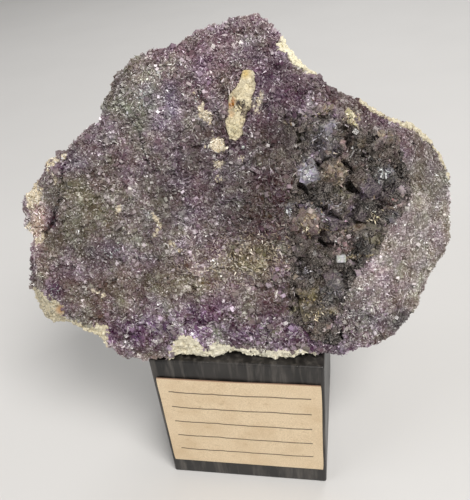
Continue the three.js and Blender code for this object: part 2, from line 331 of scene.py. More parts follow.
def sites_on(mesh, count):
    """Random points spread evenly over a mesh, with the normals there."""
    points = corners_of(mesh)
    normals = normals_of(mesh)
    triangles = triangles_of(mesh)
    a, b, c = (points[triangles[:, k]] for k in range(3))
    area = np.linalg.norm(np.cross(b - a, c - a), axis=1)
    picked = rng.choice(len(triangles), count, p=area / area.sum())
    s, t = rng.random((2, count, 1))
    over = s + t > 1
    s, t = np.where(over, 1 - s, s), np.where(over, 1 - t, t)
    place = a[picked] + s * (b - a)[picked] + t * (c - a)[picked]
    normal = normals[triangles[picked]].mean(axis=1)
    return place, normal / np.linalg.norm(normal, axis=1, keepdims=True)


# Crystals

Shape = namedtuple("Shape", "corners loops sizes")

# Share of its side that a worn cube's edges are cut back
WORN_CUT = 0.045

# How much of its tint a crystal loses as it gets lighter
FADE = 0.8


def cube_shape(cut=0.0):
    """A cube one unit wide, its edges cut back by a share of its side."""
    form = bmesh.new()
    bmesh.ops.create_cube(form, size=1)
    if cut:
        bmesh.ops.bevel(form, geom=form.edges[:], offset=cut, segments=1, affect="EDGES", profile=0.5)
    form.verts.index_update()
    corners = np.array([corner.co for corner in form.verts])
    loops = np.array([corner.index for face in form.faces for corner in face.verts])
    sizes = np.array([len(face.verts) for face in form.faces])
    form.free()
    return Shape(corners, loops, sizes)


def tip_shape():
    """The corner of a cube whose edges are one unit long, pointing up from its cut base."""
    angles = np.radians((0, 120, 240))
    base = np.stack([np.cos(angles), np.sin(angles), 0 * angles], axis=1) * math.sqrt(2 / 3)
    corners = np.vstack([base, (0, 0, math.sqrt(1 / 3))])
    return Shape(corners, np.array([0, 1, 3, 1, 2, 3, 2, 0, 3, 0, 2, 1]), np.array([3, 3, 3, 3]))


SHARP = cube_shape()
WORN = cube_shape(WORN_CUT)
TIP = tip_shape()


def random_turns(count):
    """Rotation matrices that point anywhere."""
    q = rng.normal(size=(count, 4))
    a, b, c, d = (q / np.linalg.norm(q, axis=1, keepdims=True)).T
    rows = [
        [1 - 2 * (c * c + d * d), 2 * (b * c - a * d), 2 * (b * d + a * c)],
        [2 * (b * c + a * d), 1 - 2 * (b * b + d * d), 2 * (c * d - a * b)],
        [2 * (b * d - a * c), 2 * (c * d + a * b), 1 - 2 * (b * b + c * c)],
    ]
    return np.moveaxis(np.array(rows), 2, 0)


def standing_turns(normals, lean):
    """Rotation matrices whose third axis leans a little off each normal."""
    up = normals + rng.normal(0, lean, normals.shape)
    up /= np.linalg.norm(up, axis=1, keepdims=True)
    side = np.cross(up, rng.normal(size=up.shape))
    side /= np.linalg.norm(side, axis=1, keepdims=True)
    return np.stack([side, np.cross(up, side), up], axis=2)


def lit(colours, factor):
    """Colours made lighter or darker by a factor, and greyer the lighter they get."""
    factor = np.asarray(factor)[..., None]
    grey = colours.mean(axis=-1, keepdims=True)
    return factor * (grey + (colours - grey) * factor**-FADE)


def between(limits, count, power=1):
    """Random sizes between two limits in mm, more of them small where the power is above 1."""
    return (limits[0] + (limits[1] - limits[0]) * rng.random(count) ** power) * MM


def alike(side):
    """Three equal sides for each crystal."""
    return np.repeat(side[:, None], 3, axis=1)


def drawn_out(side, stretch):
    """Sides of crystals stretched along their third axis by random factors between two."""
    return np.stack([side, side, side * rng.uniform(*stretch, len(side))], axis=1)


def lying(normals, rise):
    """Directions anywhere along a surface, tipped up from it a little."""
    along = np.cross(normals, rng.normal(size=normals.shape))
    return along / np.linalg.norm(along, axis=1, keepdims=True) + rise * normals


def spread_along(line, count):
    """Random u, v places along a line of points."""
    line = np.array(line)
    part = rng.uniform(0, len(line) - 1, count)
    first = part.astype(int)
    share = (part - first)[:, None]
    return line[first] * (1 - share) + line[first + 1] * share


def crystals(name, shape, centres, turns, sides, colours, look, spread):
    """A piece of many crystals, each in its own colour and each face a little lighter or darker.

    Its look is a material and a slot name; the slot name is not used.
    """
    local = shape.corners[None] * sides[:, None, :]
    reach = np.linalg.norm(local, axis=2).max(axis=1, keepdims=True)
    centres = np.clip(centres, BOX_LOW + reach, BOX_HIGH - reach)
    vertices = np.einsum("nij,nkj->nki", turns, local) + centres[:, None, :]
    count = len(centres)
    loops = shape.loops[None] + len(shape.corners) * np.arange(count)[:, None]
    mesh = mesh_of(name, vertices.reshape(-1, 3), loops.ravel(), np.tile(shape.sizes, count))
    shade = np.exp(rng.normal(0, spread, (count, len(shape.sizes))))
    tint = lit(colours[:, None, :], shade)
    paint(mesh, np.repeat(tint, shape.sizes, axis=1).reshape(-1, 3), "CORNER")
    return shown(name, mesh, *look)


# Colours of the crust

def linear(red, green, blue):
    """A colour from its values out of 255."""
    return ((np.array((red, green, blue)) / 255 + 0.055) / 1.055) ** 2.4


CRUST_COLOUR = linear(133, 121, 121)

# Soft zones of the crust: place u and v, reach across and up, turn in degrees, strength, colour,
# and how large the crystals are there
ZONES = (
    (3, 30, 12, 7, 0, 1.5, (154, 136, 144), 1.0),
    (-9, 28, 9, 3, 28, 1.5, (148, 128, 136), 1.1),
    (-17, 19, 6, 6, 40, 2.4, (160, 157, 152), 0.9),
    (-12, 19, 4, 3, 60, 2.0, (156, 152, 158), 0.9),
    (-22, 22, 3, 4, -30, 1.5, (106, 96, 82), 1.0),
    (11, 21, 6, 7, 0, 1.2, (113, 93, 110), 1.0),
    (-32, -4, 4.5, 9, 0, 1.6, (130, 126, 106), 0.9),
    (-33.5, 7.5, 3.5, 2.5, 0, 1.8, (112, 92, 116), 1.1),
    (3, -15.5, 7, 3, 20, 1.6, (128, 116, 94), 1.0),
    (-14, -19, 10, 3, 5, 1.6, (124, 115, 99), 1.0),
    (8, 0, 5, 12, 0, 2.2, (96, 80, 80), 1.1),
    (-4, 2, 9, 9, 0, 1.4, (100, 88, 94), 1.0),
    (-20, -31.5, 10, 2.6, 3, 4.0, (121, 103, 119), 1.6),
    (-7, -29, 7, 3.2, 0, 2.8, (109, 92, 107), 1.5),
    (11, -32.5, 9, 2.4, 0, 4.0, (109, 90, 107), 1.5),
    (-41, -14, 3, 6, 0, 1.5, (126, 110, 108), 1.0),
    (-43.5, -5, 1.8, 4, 0, 4.0, (178, 155, 138), 0.9),
    (39, -12, 10, 18, -15, 7.0, (190, 181, 177), 0.75),
    (33, 12, 8, 3, -35, 2.0, (112, 96, 98), 0.9),
    (42, 4, 3, 3, 0, 2.0, (125, 118, 104), 0.8),
    # Painted shadow: the next zone is a dark spot low on the flank
    (36.1, -31.6, 2.2, 1.8, 0, 18.0, (74, 71, 73), 0.9),
    (25.5, -28.5, 2.5, 2.5, 0, 3.5, (92, 84, 87), 1.1),
    (4.8, -31, 3.2, 1.5, 0, 4.0, (90, 74, 82), 1.4),
    (-2.2, -32, 2, 1.2, 0, 4.0, (88, 74, 82), 1.4),
    (-5.7, -27.4, 2, 1.6, 0, 3.5, (158, 132, 146), 1.4),
    (3, -19.3, 3, 1.5, 0, 2.5, (102, 92, 85), 1.0),
    (7.4, -15.5, 2, 1.6, 0, 2.5, (158, 148, 134), 1.0),
    (-5.8, 3, 1.5, 2.2, 0, 2.5, (150, 138, 141), 1.0),
    (-15.6, 10.5, 2.6, 2.2, 0, 2.0, (162, 149, 150), 1.0),
    (-16.5, 25.4, 2.4, 1.4, 0, 3.0, (112, 106, 97), 1.0),
    (-41.5, -9.7, 1.6, 1.5, 0, 3.0, (94, 86, 76), 1.0),
    (28, -31, 8, 4.5, 10, 4.5, (109, 98, 102), 1.3),
    (41.5, -2, 5, 6, 0, 6.0, (116, 106, 101), 0.8),
    (-34, -23, 8, 4, 0, 1.5, (128, 118, 107), 1.0),
    (-41, -20.5, 2.5, 1.5, -30, 3.0, (112, 92, 112), 1.2),
    (-29.5, -12, 3.5, 3, 0, 1.8, (120, 104, 122), 1.0),
    (38, -14, 3, 5, -25, 2.5, (146, 143, 135), 0.8),
    (34, 10, 9, 3.5, -35, 2.0, (122, 102, 108), 1.0),
    (13.8, 9, 3.0, 4.6, 0, 8.0, (80, 70, 66), 0.8),
    (10.5, -4, 2.6, 6, 0, 4.0, (88, 78, 76), 1.5),
    (9.5, -18, 2.2, 9, 0, 4.0, (98, 84, 82), 1.5),
    (16.3, 15.8, 3, 2.2, 20, 4.0, (134, 121, 128), 1.2),
    (12.7, 5.5, 2.0, 1.5, 0, 3.0, (118, 104, 98), 1.1),
)

# Patches where pale crumbs of the host rock lie between the crystals: place u and v,
# half length, half width, turn and strength
PALE_PATCHES = (
    (-1.7, 9.3, 1.6, 1.2, 20, 1.5),
    (-1.5, 5.4, 0.9, 0.7, 0, 0.8),
    (-1.8, 2.4, 0.8, 0.7, 0, 0.5),
    (3.3, 6.3, 0.7, 0.7, 0, 0.5),
    (-3.9, 15.7, 2.2, 1.0, 115, 1.4),
    (7.8, 18.1, 1.6, 0.5, 65, 0.7),
    (6.6, 16.2, 1.4, 0.4, 130, 0.8),
    (-24.1, -2.7, 0.8, 0.8, 0, 0.9),
    (-15.8, -6.2, 1.9, 0.5, 110, 0.9),
    (-16.3, -8.4, 1.2, 0.4, 60, 0.7),
    (-12.8, -11.6, 1.6, 0.5, 130, 0.7),
    (-39.3, 7.8, 1.6, 0.9, 20, 1),
    (-36.2, 8.4, 0.6, 0.6, 0, 1),
    (-38.3, 4.2, 0.5, 1.3, 0, 0.9),
    (-44.6, 0.4, 2.2, 1.9, 30, 1.6),
    (-45.3, -3.3, 1.0, 1.8, 0, 0.35),
    (-46.6, -7.0, 0.9, 1.3, 0, 0.9),
    (-43.1, -9.2, 1.4, 0.7, 30, 0.9),
    (-31.5, -21.4, 1.1, 0.4, 160, 0.8),
    (-30.1, -22.7, 1.0, 0.4, 50, 0.8),
)
PALE_COLOUR = linear(224, 212, 190)
STRAW = linear(206, 192, 166)

# Where the straw-coloured crystals lie: middle, reach across and up, and turn
STRAW_OVAL = ((3, -15), 14, 5, 12)

# Cracks in the crust, sunk into the bed and painted darker as painted shade, and how wide each is
CRACKS = (
    (((-35, 8.5), (-35.7, 5.6), (-36.7, 2.6), (-38, -2)), 0.3),
    (((-38, -2), (-39, -3.8), (-39.9, -5.5), (-41, -7.1), (-42.1, -7.9)), 0.8),
    (((-19.4, 15.2), (-18.4, 14), (-17.8, 11.7), (-17.2, 8.3), (-16.4, 6)), 0.3),
)

# Lighter and darker clumps of the crust: size in mm, and how strong
CLUMPS = ((0.8, 0.36), (1.7, 0.42), (3.4, 0.46), (7.5, 0.34))

# Drifts of tint across the crust: size in mm, strength, and the tint that it drifts to
VIOLET = np.array((0.0, -0.42, 0.24))
BLUE = np.array((-0.5, 0.0, 0.5))
TINT_DRIFTS = ((1.3, 0.13, VIOLET), (3.6, 0.24, VIOLET), (2.2, 0.09, BLUE), (6, 0.06, BLUE))

# How much stronger clumps and drifts get where the crystals are large
GRAIN_CONTRAST = 1.6


def crust_colours(points):
    """The crust's own colour and crystal size at each point."""
    u, v, _ = to_face(points).T
    total = np.ones(len(u))
    colour = np.tile(CRUST_COLOUR, (len(u), 1))
    grain = np.ones(len(u))
    for zone_u, zone_v, across, up, turn, strength, tone, size in ZONES:
        off = inside_oval(u, v, (zone_u, zone_v), across, up, turn)
        weight = strength * np.exp(-off * (1 + 0.35 * lumps(points, 4 * MM, 60)))
        total += weight
        colour += weight[:, None] * linear(*tone)
        grain += weight * size
    grain /= total
    contrast = GRAIN_CONTRAST * smooth(grain, 0.3, 1.7)
    change = np.zeros(len(u))
    for seed, (size, share) in enumerate(CLUMPS):
        change += share * lumps(points, size * MM, 70 + seed)
    colour = lit(colour / total[:, None], np.exp(change * contrast))
    drift = GRAIN_CONTRAST * smooth(grain, 0, 1.7)
    for seed, (size, share, tint) in enumerate(TINT_DRIFTS):
        colour *= np.exp(np.outer(share * lumps(points, size * MM, 75 + seed) * drift, tint))
    return colour, grain


def pale_share(points):
    """How far each point lies inside the pale patches, 1 well inside."""
    u, v, _ = to_face(points).T
    share = np.zeros(len(u))
    for pu, pv, length, width, turn, strength in PALE_PATCHES:
        off = inside_oval(u, v, (pu, pv), length, width, turn)
        ragged = off * (1 + 0.9 * lumps(points, 0.9 * MM, 80))
        share = np.maximum(share, strength * (1 - smooth(ragged, 0.7, 1.3)))
    return np.minimum(share, 1)


def crack_share(points):
    """How far each point lies inside the cracks, 1 well inside."""
    u, v, _ = to_face(points).T
    share = np.zeros(len(u))
    for line, width in CRACKS:
        off = off_line(u, v, line) * (1 + 0.5 * lumps(points, 1.5 * MM, 85))
        share = np.maximum(share, 1 - smooth(off, 0.4 * width, width))
    return share


# Materials

# How strongly fluorite bends light, and the share of a spot's radius that it fills evenly
FLUORITE_IOR = 1.434
SPOT_CORE = 0.35


class Surface:
    """A material under construction."""

    def __init__(self, name, roughness, ior=1.5):
        self.material = bpy.data.materials.new(name)
        self.material.use_nodes = True
        self.tree = self.material.node_tree
        self.shader = self.tree.nodes["Principled BSDF"].inputs
        self.put(self.shader["Roughness"], roughness)
        self.put(self.shader["IOR"], ior)
        self.place = self.node("TexCoord", {}, "Object")

    def put(self, socket, value):
        """Links or sets a socket."""
        if isinstance(value, bpy.types.NodeSocket):
            self.tree.links.new(value, socket)
        elif value is not None:
            socket.default_value = value

    def node(self, kind, inputs, output, **settings):
        """One output of a new node, from its inputs and settings."""
        node = self.tree.nodes.new("ShaderNode" + kind)
        for name, value in settings.items():
            setattr(node, name, value)
        for socket, value in inputs.items():
            self.put(node.inputs[socket], value)
        return node.outputs[output]

    def noise(self, size_mm, detail=3, rough=0.55, distortion=0, stretch=None):
        """Noise with lumps of a size in mm."""
        place = self.place
        if stretch:
            place = self.node("Mapping", {"Vector": place, "Scale": stretch}, "Vector")
        form = {"Scale": 1 / (size_mm * MM), "Detail": detail, "Roughness": rough}
        return self.node("TexNoise", {"Vector": place, "Distortion": distortion, **form}, "Fac")

    def span(self, value, low, high, to_low=0.0, to_high=1.0):
        """A value's range turned into another one, held at its ends."""
        ends = {"From Min": low, "From Max": high, "To Min": to_low, "To Max": to_high}
        return self.node("MapRange", {"Value": value, **ends}, "Result")

    def mix(self, factor, first, second, kind="MIX"):
        """Two colours mixed by a factor."""
        colours = {"Factor": factor, 6: rgba(first), 7: rgba(second)}
        return self.node("Mix", colours, 2, data_type="RGBA", blend_type=kind)

    def times(self, first, second):
        """Two colours multiplied."""
        return self.mix(1.0, first, second, "MULTIPLY")

    def marked(self, colour, tone, pattern, low, high, most=1.0):
        """A colour with another one over it where a pattern is high."""
        return self.mix(self.span(pattern, low, high, 0, most), colour, tone)

    def math(self, kind, first, second=None):
        """One number made from one or two others."""
        return self.node("Math", {0: first, 1: second}, "Value", operation=kind)

    def near(self, u, v, w, radius_mm):
        """One at a spot of the front, falling to zero at a distance from it."""
        spot = FACE @ (Vector((u, v, w)) * MM)
        off = self.node("VectorMath", {0: self.place, 1: spot}, "Value", operation="DISTANCE")
        return self.span(off, radius_mm * MM, SPOT_CORE * radius_mm * MM)

    def tint(self):
        """The mesh's own colours."""
        return self.node("VertexColor", {}, "Color", layer_name="tint")

    def bump(self, height, depth_mm, strength):
        """Fine relief of a depth in mm."""
        relief = {"Height": height, "Distance": depth_mm * MM, "Strength": strength}
        self.put(self.shader["Normal"], self.node("Bump", relief, "Normal"))

    def finish(self, colour, roughness=None):
        """The material with its colour, and a roughness if it varies."""
        self.put(self.shader["Base Color"], colour)
        self.put(self.shader["Roughness"], roughness)
        return self.material


def rgba(colour):
    """A colour's three values with a fourth, or a socket as it is."""
    return colour if isinstance(colour, bpy.types.NodeSocket) else (*colour, 1.0)


def small_crystal_material():
    """Shiny small crystals, cloudy inside."""
    surface = Surface("small_fluorite", 0.3, FLUORITE_IOR)
    cloud = surface.span(surface.noise(0.2, 3, 0.7), 0.3, 0.7, 0.55, 1.5)
    colour = surface.times(surface.tint(), cloud)
    return surface.finish(colour, surface.span(surface.noise(0.9, 2), 0.35, 0.65, 0.12, 0.45))


SMOKE = linear(44, 37, 36)
PAINTED_WISP = linear(200, 190, 182)
OLIVE_DRIFT = (0.97, 1.03, 0.86)
VIOLET_DRIFT = (1.02, 0.9, 1.1)


def large_crystal_material():
    """Glassy large crystals with smoky clouds, and pale wisps painted in as painted highlights where
    light would be caught inside.
    """
    surface = Surface("large_fluorite", 0.15, FLUORITE_IOR)
    cloud = surface.span(surface.noise(0.45, 4, 0.7, 0.4), 0.34, 0.66, 0.58, 1.4)
    colour = surface.times(surface.tint(), cloud)
    colour = surface.marked(colour, SMOKE, surface.noise(2.2, 3, 0.6, 0.8), 0.54, 0.7, 0.5)
    drift = surface.span(surface.noise(1.3, 3, 0.6), 0.35, 0.65)
    colour = surface.times(colour, surface.mix(drift, OLIVE_DRIFT, VIOLET_DRIFT))
    # Painted highlights: thin pale wisps along the middle of a noise
    band = surface.math("ABSOLUTE", surface.math("SUBTRACT", surface.noise(1.1, 4, 0.7, 1.5), 0.5))
    colour = surface.marked(colour, PAINTED_WISP, band, 0.028, 0.0, 0.7)
    surface.bump(surface.noise(0.35, 3, 0.6), 0.06, 0.5)
    return surface.finish(colour, surface.span(surface.noise(0.8, 2), 0.35, 0.65, 0.1, 0.4))


def bed_material():
    """The crust under its crystals, grainy, in its tint that is painted darker as painted shade."""
    surface = Surface("crust_bed", 0.45, FLUORITE_IOR)
    grains = surface.noise(0.25, 3, 0.7)
    surface.bump(grains, 0.12, 0.8)
    shade = surface.span(grains, 0.3, 0.7, 0.3, 1.5)
    return surface.finish(surface.times(surface.tint(), shade))


ROCK_DARK = linear(174, 160, 128)
ROCK_LIGHT = linear(248, 241, 218)
ROCK_BROWN = linear(176, 144, 100)
ROCK_GREY = linear(132, 127, 114)
ROCK_DIRT = linear(96, 84, 76)
ROCK_SPECKLE = linear(88, 84, 74)

# Grey speckles on the host rock at the lower left: place u, v and w, and reach
SPECKLED_PLACE = (-43, -24, -3)
SPECKLED_REACH = 8

# Stains on the host rock: place u, v and w, radius, strength and colour
ROCK_STAINS = (
    (3.2, 17, 1, 10, 0.35, (246, 228, 182)),
    (4, -40, -3, 26, 0.85, (236, 232, 214)),
    (-43, -24, -3, 6, 0.35, (118, 110, 92)),
    (-39.7, -25.1, 0, 1.6, 0.9, (178, 120, 62)),
    (-33.8, -29.3, -1, 4, 0.4, (205, 196, 168)),
    (5.1, 23.1, 1.2, 1.5, 0.9, (206, 176, 98)),
    (2.3, 17.9, 1, 1.0, 1.0, (164, 108, 54)),
    (1.9, 16.8, 1, 0.8, 0.9, (176, 122, 70)),
    (1.8, 15.4, 1, 0.9, 0.9, (190, 138, 86)),
    (3.5, 17.2, 0.8, 1.1, 0.8, (92, 76, 68)),
    (4.3, 16.4, 0.8, 1.1, 0.8, (104, 88, 80)),
    (4.9, 15.0, 0.8, 1.1, 0.8, (128, 116, 106)),
    (2.2, 12.2, 0.9, 2.2, 0.5, (204, 197, 158)),
    (14.5, 26.5, -2, 9, 0.95, (255, 249, 222)),
)


def rock_material():
    """Pale grainy rock with brown and grey drifts, stains, dirt and speckles."""
    surface = Surface("pale_host_rock", 0.8)
    grains = surface.noise(0.7, 4, 0.7)
    colour = surface.mix(surface.span(grains, 0.3, 0.7), ROCK_DARK, ROCK_LIGHT)
    colour = surface.marked(colour, ROCK_BROWN, surface.noise(7, 3, 0.6), 0.6, 0.8)
    colour = surface.marked(colour, ROCK_GREY, surface.noise(4.5, 4, 0.65, 0.6), 0.56, 0.72, 0.6)
    ragged = surface.span(grains, 0.3, 0.65, 0.4, 1.0)
    for u, v, w, radius, strength, tone in ROCK_STAINS:
        share = surface.math("MULTIPLY", surface.near(u, v, w, radius), ragged)
        colour = surface.mix(surface.math("MULTIPLY", share, strength), colour, linear(*tone))
    colour = surface.marked(colour, ROCK_DIRT, surface.noise(0.5, 2, 0.6), 0.66, 0.74, 0.5)
    speckles = surface.span(surface.noise(0.7, 4, 0.75, 0.5), 0.5, 0.62, 0, 0.9)
    speckles = surface.math("MULTIPLY", speckles, surface.near(*SPECKLED_PLACE, SPECKLED_REACH))
    colour = surface.mix(speckles, colour, ROCK_SPECKLE)
    surface.bump(surface.noise(0.5, 4, 0.75), 0.3, 0.9)
    return surface.finish(colour)


BLOCK_BLACK = linear(15, 13, 12)
BLOCK_HAZE = linear(48, 45, 43)
BLOCK_STREAK_SHEEN = linear(96, 91, 86)
BLOCK_DUST = linear(170, 165, 150)


def block_material():
    """A black block with faint upright streaks, marks in its finish that are painted lighter as
    painted sheen, and a little dust.
    """
    surface = Surface("black_block", 0.38)
    haze = surface.noise(5, 3, 0.55, stretch=(1, 1, 0.45))
    colour = surface.mix(surface.span(haze, 0.35, 0.7), BLOCK_BLACK, BLOCK_HAZE)
    # Upright streaks in the finish, which also carry the bump, painted lighter as painted sheen
    streaks = surface.noise(1.6, 3, 0.6, stretch=(1, 1, 0.12))
    colour = surface.marked(colour, BLOCK_STREAK_SHEEN, streaks, 0.48, 0.72, 0.7)
    colour = surface.marked(colour, BLOCK_DUST, surface.noise(0.25, 1), 0.77, 0.82)
    surface.bump(streaks, 0.02, 0.3)
    return surface.finish(colour, surface.span(haze, 0.3, 0.7, 0.3, 0.5))


PAPER_DARK = linear(206, 184, 150)
PAPER_LIGHT = linear(242, 220, 188)
PAPER_PATCH = linear(204, 177, 140)
PAPER_SMUDGE = linear(170, 140, 105)
# Painted shadow along the label's top edge
PAPER_TOP_SHADOW = linear(120, 74, 56)

# The label's ruled lines, in mm: the first one's distance from the top, the distance between two,
# their width, their distance from the sides, how soft they end and how far they wobble
INK = linear(48, 38, 32)
INK_STRENGTH = 0.8
INK_LINES = 5
INK_FIRST = 4.6
INK_PITCH = 5.2
INK_WIDTH = 0.42
INK_MARGIN = 2.4
INK_END = 0.1
INK_WOBBLE = 0.35


def paper_material(low, high):
    """Cream paper with plain ruled ink lines, for a sheet between two corners."""
    surface = Surface("cream_paper", 0.85)
    fibres = surface.noise(0.3, 4, 0.7)
    colour = surface.mix(surface.span(fibres, 0.3, 0.7), PAPER_DARK, PAPER_LIGHT)
    colour = surface.marked(colour, PAPER_PATCH, surface.noise(6, 3), 0.45, 0.75, 0.6)
    smudges = surface.noise(1.6, 3, 0.6, stretch=(0.6, 1, 1.6))
    colour = surface.marked(colour, PAPER_SMUDGE, smudges, 0.62, 0.78, 0.5)
    across, up = (surface.node("SeparateXYZ", {0: surface.place}, axis) for axis in "XZ")
    wave = surface.noise(5, 2, 0.5, stretch=(1, 1, 0.01))
    height = surface.math("ADD", up, surface.span(wave, 0, 1, -INK_WOBBLE * MM, INK_WOBBLE * MM))
    first = high[2] - INK_FIRST * MM
    row = surface.math("DIVIDE", surface.math("SUBTRACT", first, height), INK_PITCH * MM)
    off_row = surface.math("SUBTRACT", row, surface.math("ROUND", row))
    half = INK_WIDTH / INK_PITCH / 2
    ink = surface.span(surface.math("ABSOLUTE", off_row), half, half * 2 / 3)
    for value, edge in (
        (across, low[0] + INK_MARGIN * MM),
        (surface.math("MULTIPLY", across, -1.0), -high[0] + INK_MARGIN * MM),
        (surface.math("MULTIPLY", row, -MM), -(INK_LINES - 0.5) * MM),
        (surface.math("MULTIPLY", row, MM), -0.5 * MM),
    ):
        ink = surface.math("MULTIPLY", ink, surface.span(value, edge, edge + INK_END * MM))
    colour = surface.mix(surface.math("MULTIPLY", ink, INK_STRENGTH), colour, INK)
    # A painted shadow: a dark band just under the sheet's top edge
    colour = surface.marked(colour, PAPER_TOP_SHADOW, up, high[2] - 0.35 * MM, high[2] - 0.15 * MM, 0.75)
    surface.bump(fibres, 0.03, 0.3)
    return surface.finish(colour)


FLOOR_DARK = (0.62, 0.61, 0.6)
FLOOR_LIGHT = (0.66, 0.65, 0.64)


def floor_material():
    """A plain pale floor."""
    surface = Surface("pale_floor", 0.7)
    return surface.finish(surface.mix(surface.noise(60, 2), FLOOR_DARK, FLOOR_LIGHT))


# The specimen

ROCK_VOXEL = 0.6 * MM
BED_VOXEL = 0.6 * MM
HOLLOW_VOXEL = 0.36 * MM

# Widths of the facets that the fine surfaces break into
FACET = 2.6 * MM
SMALL_FACET = 1.3 * MM
ROCK_CHIP = 1.1 * MM

LUMP_PLACE = (3.2, 16.6)
LUMP_REACH = 9.5

# Dents in the lump: place u and v, radius and depth
LUMP_DENTS = ((3.6, 16.8, 0.8, 0.6), (4.5, 15.9, 0.5, 0.4), (4.7, 14.6, 0.4, 0.3), (1.9, 18, 0.4, 0.3))


def beside_lump(points):
    """Whether points lie round the tall pale lump, which stays clean of crystals."""
    u, v, _ = to_face(points).T
    return np.hypot(u - LUMP_PLACE[0], v - LUMP_PLACE[1]) < LUMP_REACH


def host_rock(material):
    """The rock's surface, broken into chips, flatter and more finely on the lump."""
    mesh = fine_copy("host_rock", ROCK_VOXEL)
    points = corners_of(mesh)
    lump = beside_lump(points)
    coarse = 0.5 * chips(points, FACET, 11)
    height = -0.3 + 0.45 * rough(points, 6 * MM, 4, 3) + np.where(lump, 0.4, 1) * coarse
    height += 0.3 * chips(points, ROCK_CHIP, 31)
    off = distances(node_tree("fluorite_crust"), points)
    height += np.where(lump, 0.3, 0.6) * (1 - smooth(off, 0.5, 1.6))
    u, v, _ = to_face(points).T
    for dent_u, dent_v, radius, depth in LUMP_DENTS:
        height -= depth * np.exp(-(np.hypot(u - dent_u, v - dent_v) / radius) ** 2)
    push_out(mesh, points, height)
    return shown("host_rock_surface", mesh, material, "host_rock", "host_rock")


# Crumbs of the host rock on the lump and along the rims that show from the front
CRUMB_TRIALS = 16000
CRUMB_SIDE = (0.2, 0.6)
CRUMB_DEPTH = -7


def rock_crumbs(rock, look):
    """Small grains that stand out of the host rock where it shows at the front."""
    places, normals = sites_on(rock, CRUMB_TRIALS)
    _, _, w = to_face(places).T
    free = exposed(node_tree("fluorite_crust"), places, normals, OPEN_REACH)
    places = places[(w > CRUMB_DEPTH) & free]
    side = between(CRUMB_SIDE, len(places), 2)
    turns = random_turns(len(places))
    colours = np.ones(places.shape)
    crystals("rock_crumbs", SHARP, places, turns, alike(side), colours, look, spread=0.2)


# How far the bed lies below its solid in mm, and how much darker it is painted beside its crystals, as
# painted shade in the gaps between them
BED_SINK = 0.4
BED_SHADE = 0.53

# How near its neighbours the bed keeps up to them, and the least that it stands out there, in mm
BED_EDGE = 0.6
BED_EDGE_HEIGHT = 0.15


def crust_bed(material):
    """The crust's own surface, a little lower than its solid to make room for its crystals."""
    mesh = fine_copy("fluorite_crust", BED_VOXEL)
    points = corners_of(mesh)
    colours, grain = crust_colours(points)
    crack = crack_share(points)
    relief = 0.45 * rough(points, 5 * MM, 4, 5) + 0.75 * chips(points, FACET, 51)
    relief += 0.4 * chips(points, SMALL_FACET, 61)
    outward = normals_of(mesh) @ FACE_AXES[:, 2]
    height = -BED_SINK + relief * (0.45 + 0.75 * smooth(grain, 0.75, 1.15)) - 0.5 * crack
    height += 0.2 * (1 - smooth(outward, 0.2, 0.8))
    edge = distances(node_tree("host_rock", "hollow_crystals"), points) < BED_EDGE
    height = np.where(edge, np.maximum(height, BED_EDGE_HEIGHT), height)
    push_out(mesh, points, height)
    # Painted shade: the bed darker than its crystals, darker still in the cracks and low places, and
    # painted lighter on its high places
    colours = lit(colours, (BED_SHADE - 0.4 * crack) * np.exp(0.5 * relief))
    pale = pale_share(points)[:, None]
    paint(mesh, colours * (1 - pale) + PALE_COLOUR * 0.9 * pale, "POINT")
    return shown("crust_bed", mesh, material, "fluorite_crust", "fluorite_crust")


# A few crystals painted pale as painted highlights: the highlight colour and their share
PAINTED_GLINT = linear(186, 180, 178)
PAINTED_GLINT_SHARE = 0.012


def druse_colours(places):
    """Colours of single crystals on the crust, and how large crystals are there."""
    count = len(places)
    pale = pale_share(places) > rng.random(count)
    colours, grain = crust_colours(places)
    colours = lit(colours, np.exp(np.clip(rng.normal(0, 0.5, count), -1.2, 0.78) * grain))
    colours *= np.exp(np.outer(rng.uniform(-0.12, 0.2, count) * grain**2, VIOLET))
    # Painted highlights: a few crystals, more where they are large, turn half to the highlight colour
    bright = rng.random(count) < PAINTED_GLINT_SHARE * grain**2
    colours[bright] = 0.5 * colours[bright] + 0.5 * PAINTED_GLINT
    colours[pale] = PALE_COLOUR * rng.uniform(0.75, 1.1, pale.sum())[:, None]
    # Painted shade: crystals in the cracks are painted darker
    colours *= (1 - 0.75 * crack_share(places) * (1 - pale))[:, None]
    return colours, grain


# Small crystals of the crust: whole cubes, and cube corners that stand out of the bed
CUBE_SIDE = (0.3, 0.75)
CUBES_PER_PIECE = 5000
CUBE_PIECES = 1
TIP_SIDE = (0.2, 0.5)
TIP_STRETCH = (0.8, 1.7)
TIPS_PER_PIECE = 40000
TIP_PIECES = 3
SITES_PER_CRYSTAL = 2.4


def druse_cubes(name, places, normals, look):
    """Small cubes, more or less sunk in the surface."""
    count = len(places)
    colours, grain = druse_colours(places)
    side = between(CUBE_SIDE, count, 2) * grain
    sides = side[:, None] * np.exp(rng.normal(0, 0.22, (count, 3)))
    centres = places + normals * (side * rng.uniform(-0.35, 0.3, count))[:, None]
    turns = random_turns(count)
    crystals(name, SHARP, centres, turns, sides, colours, look, spread=0.22)


def druse_tips(name, places, normals, look):
    """Cube corners that stand out of the surface."""
    count = len(places)
    colours, grain = druse_colours(places)
    sides = drawn_out(between(TIP_SIDE, count, 1.3) * grain, TIP_STRETCH)
    centres = places - normals * rng.uniform(0.02, 0.2, count)[:, None] * MM
    turns = standing_turns(normals, 0.35)
    crystals(name, TIP, centres, turns, sides, colours, look, spread=0.25)


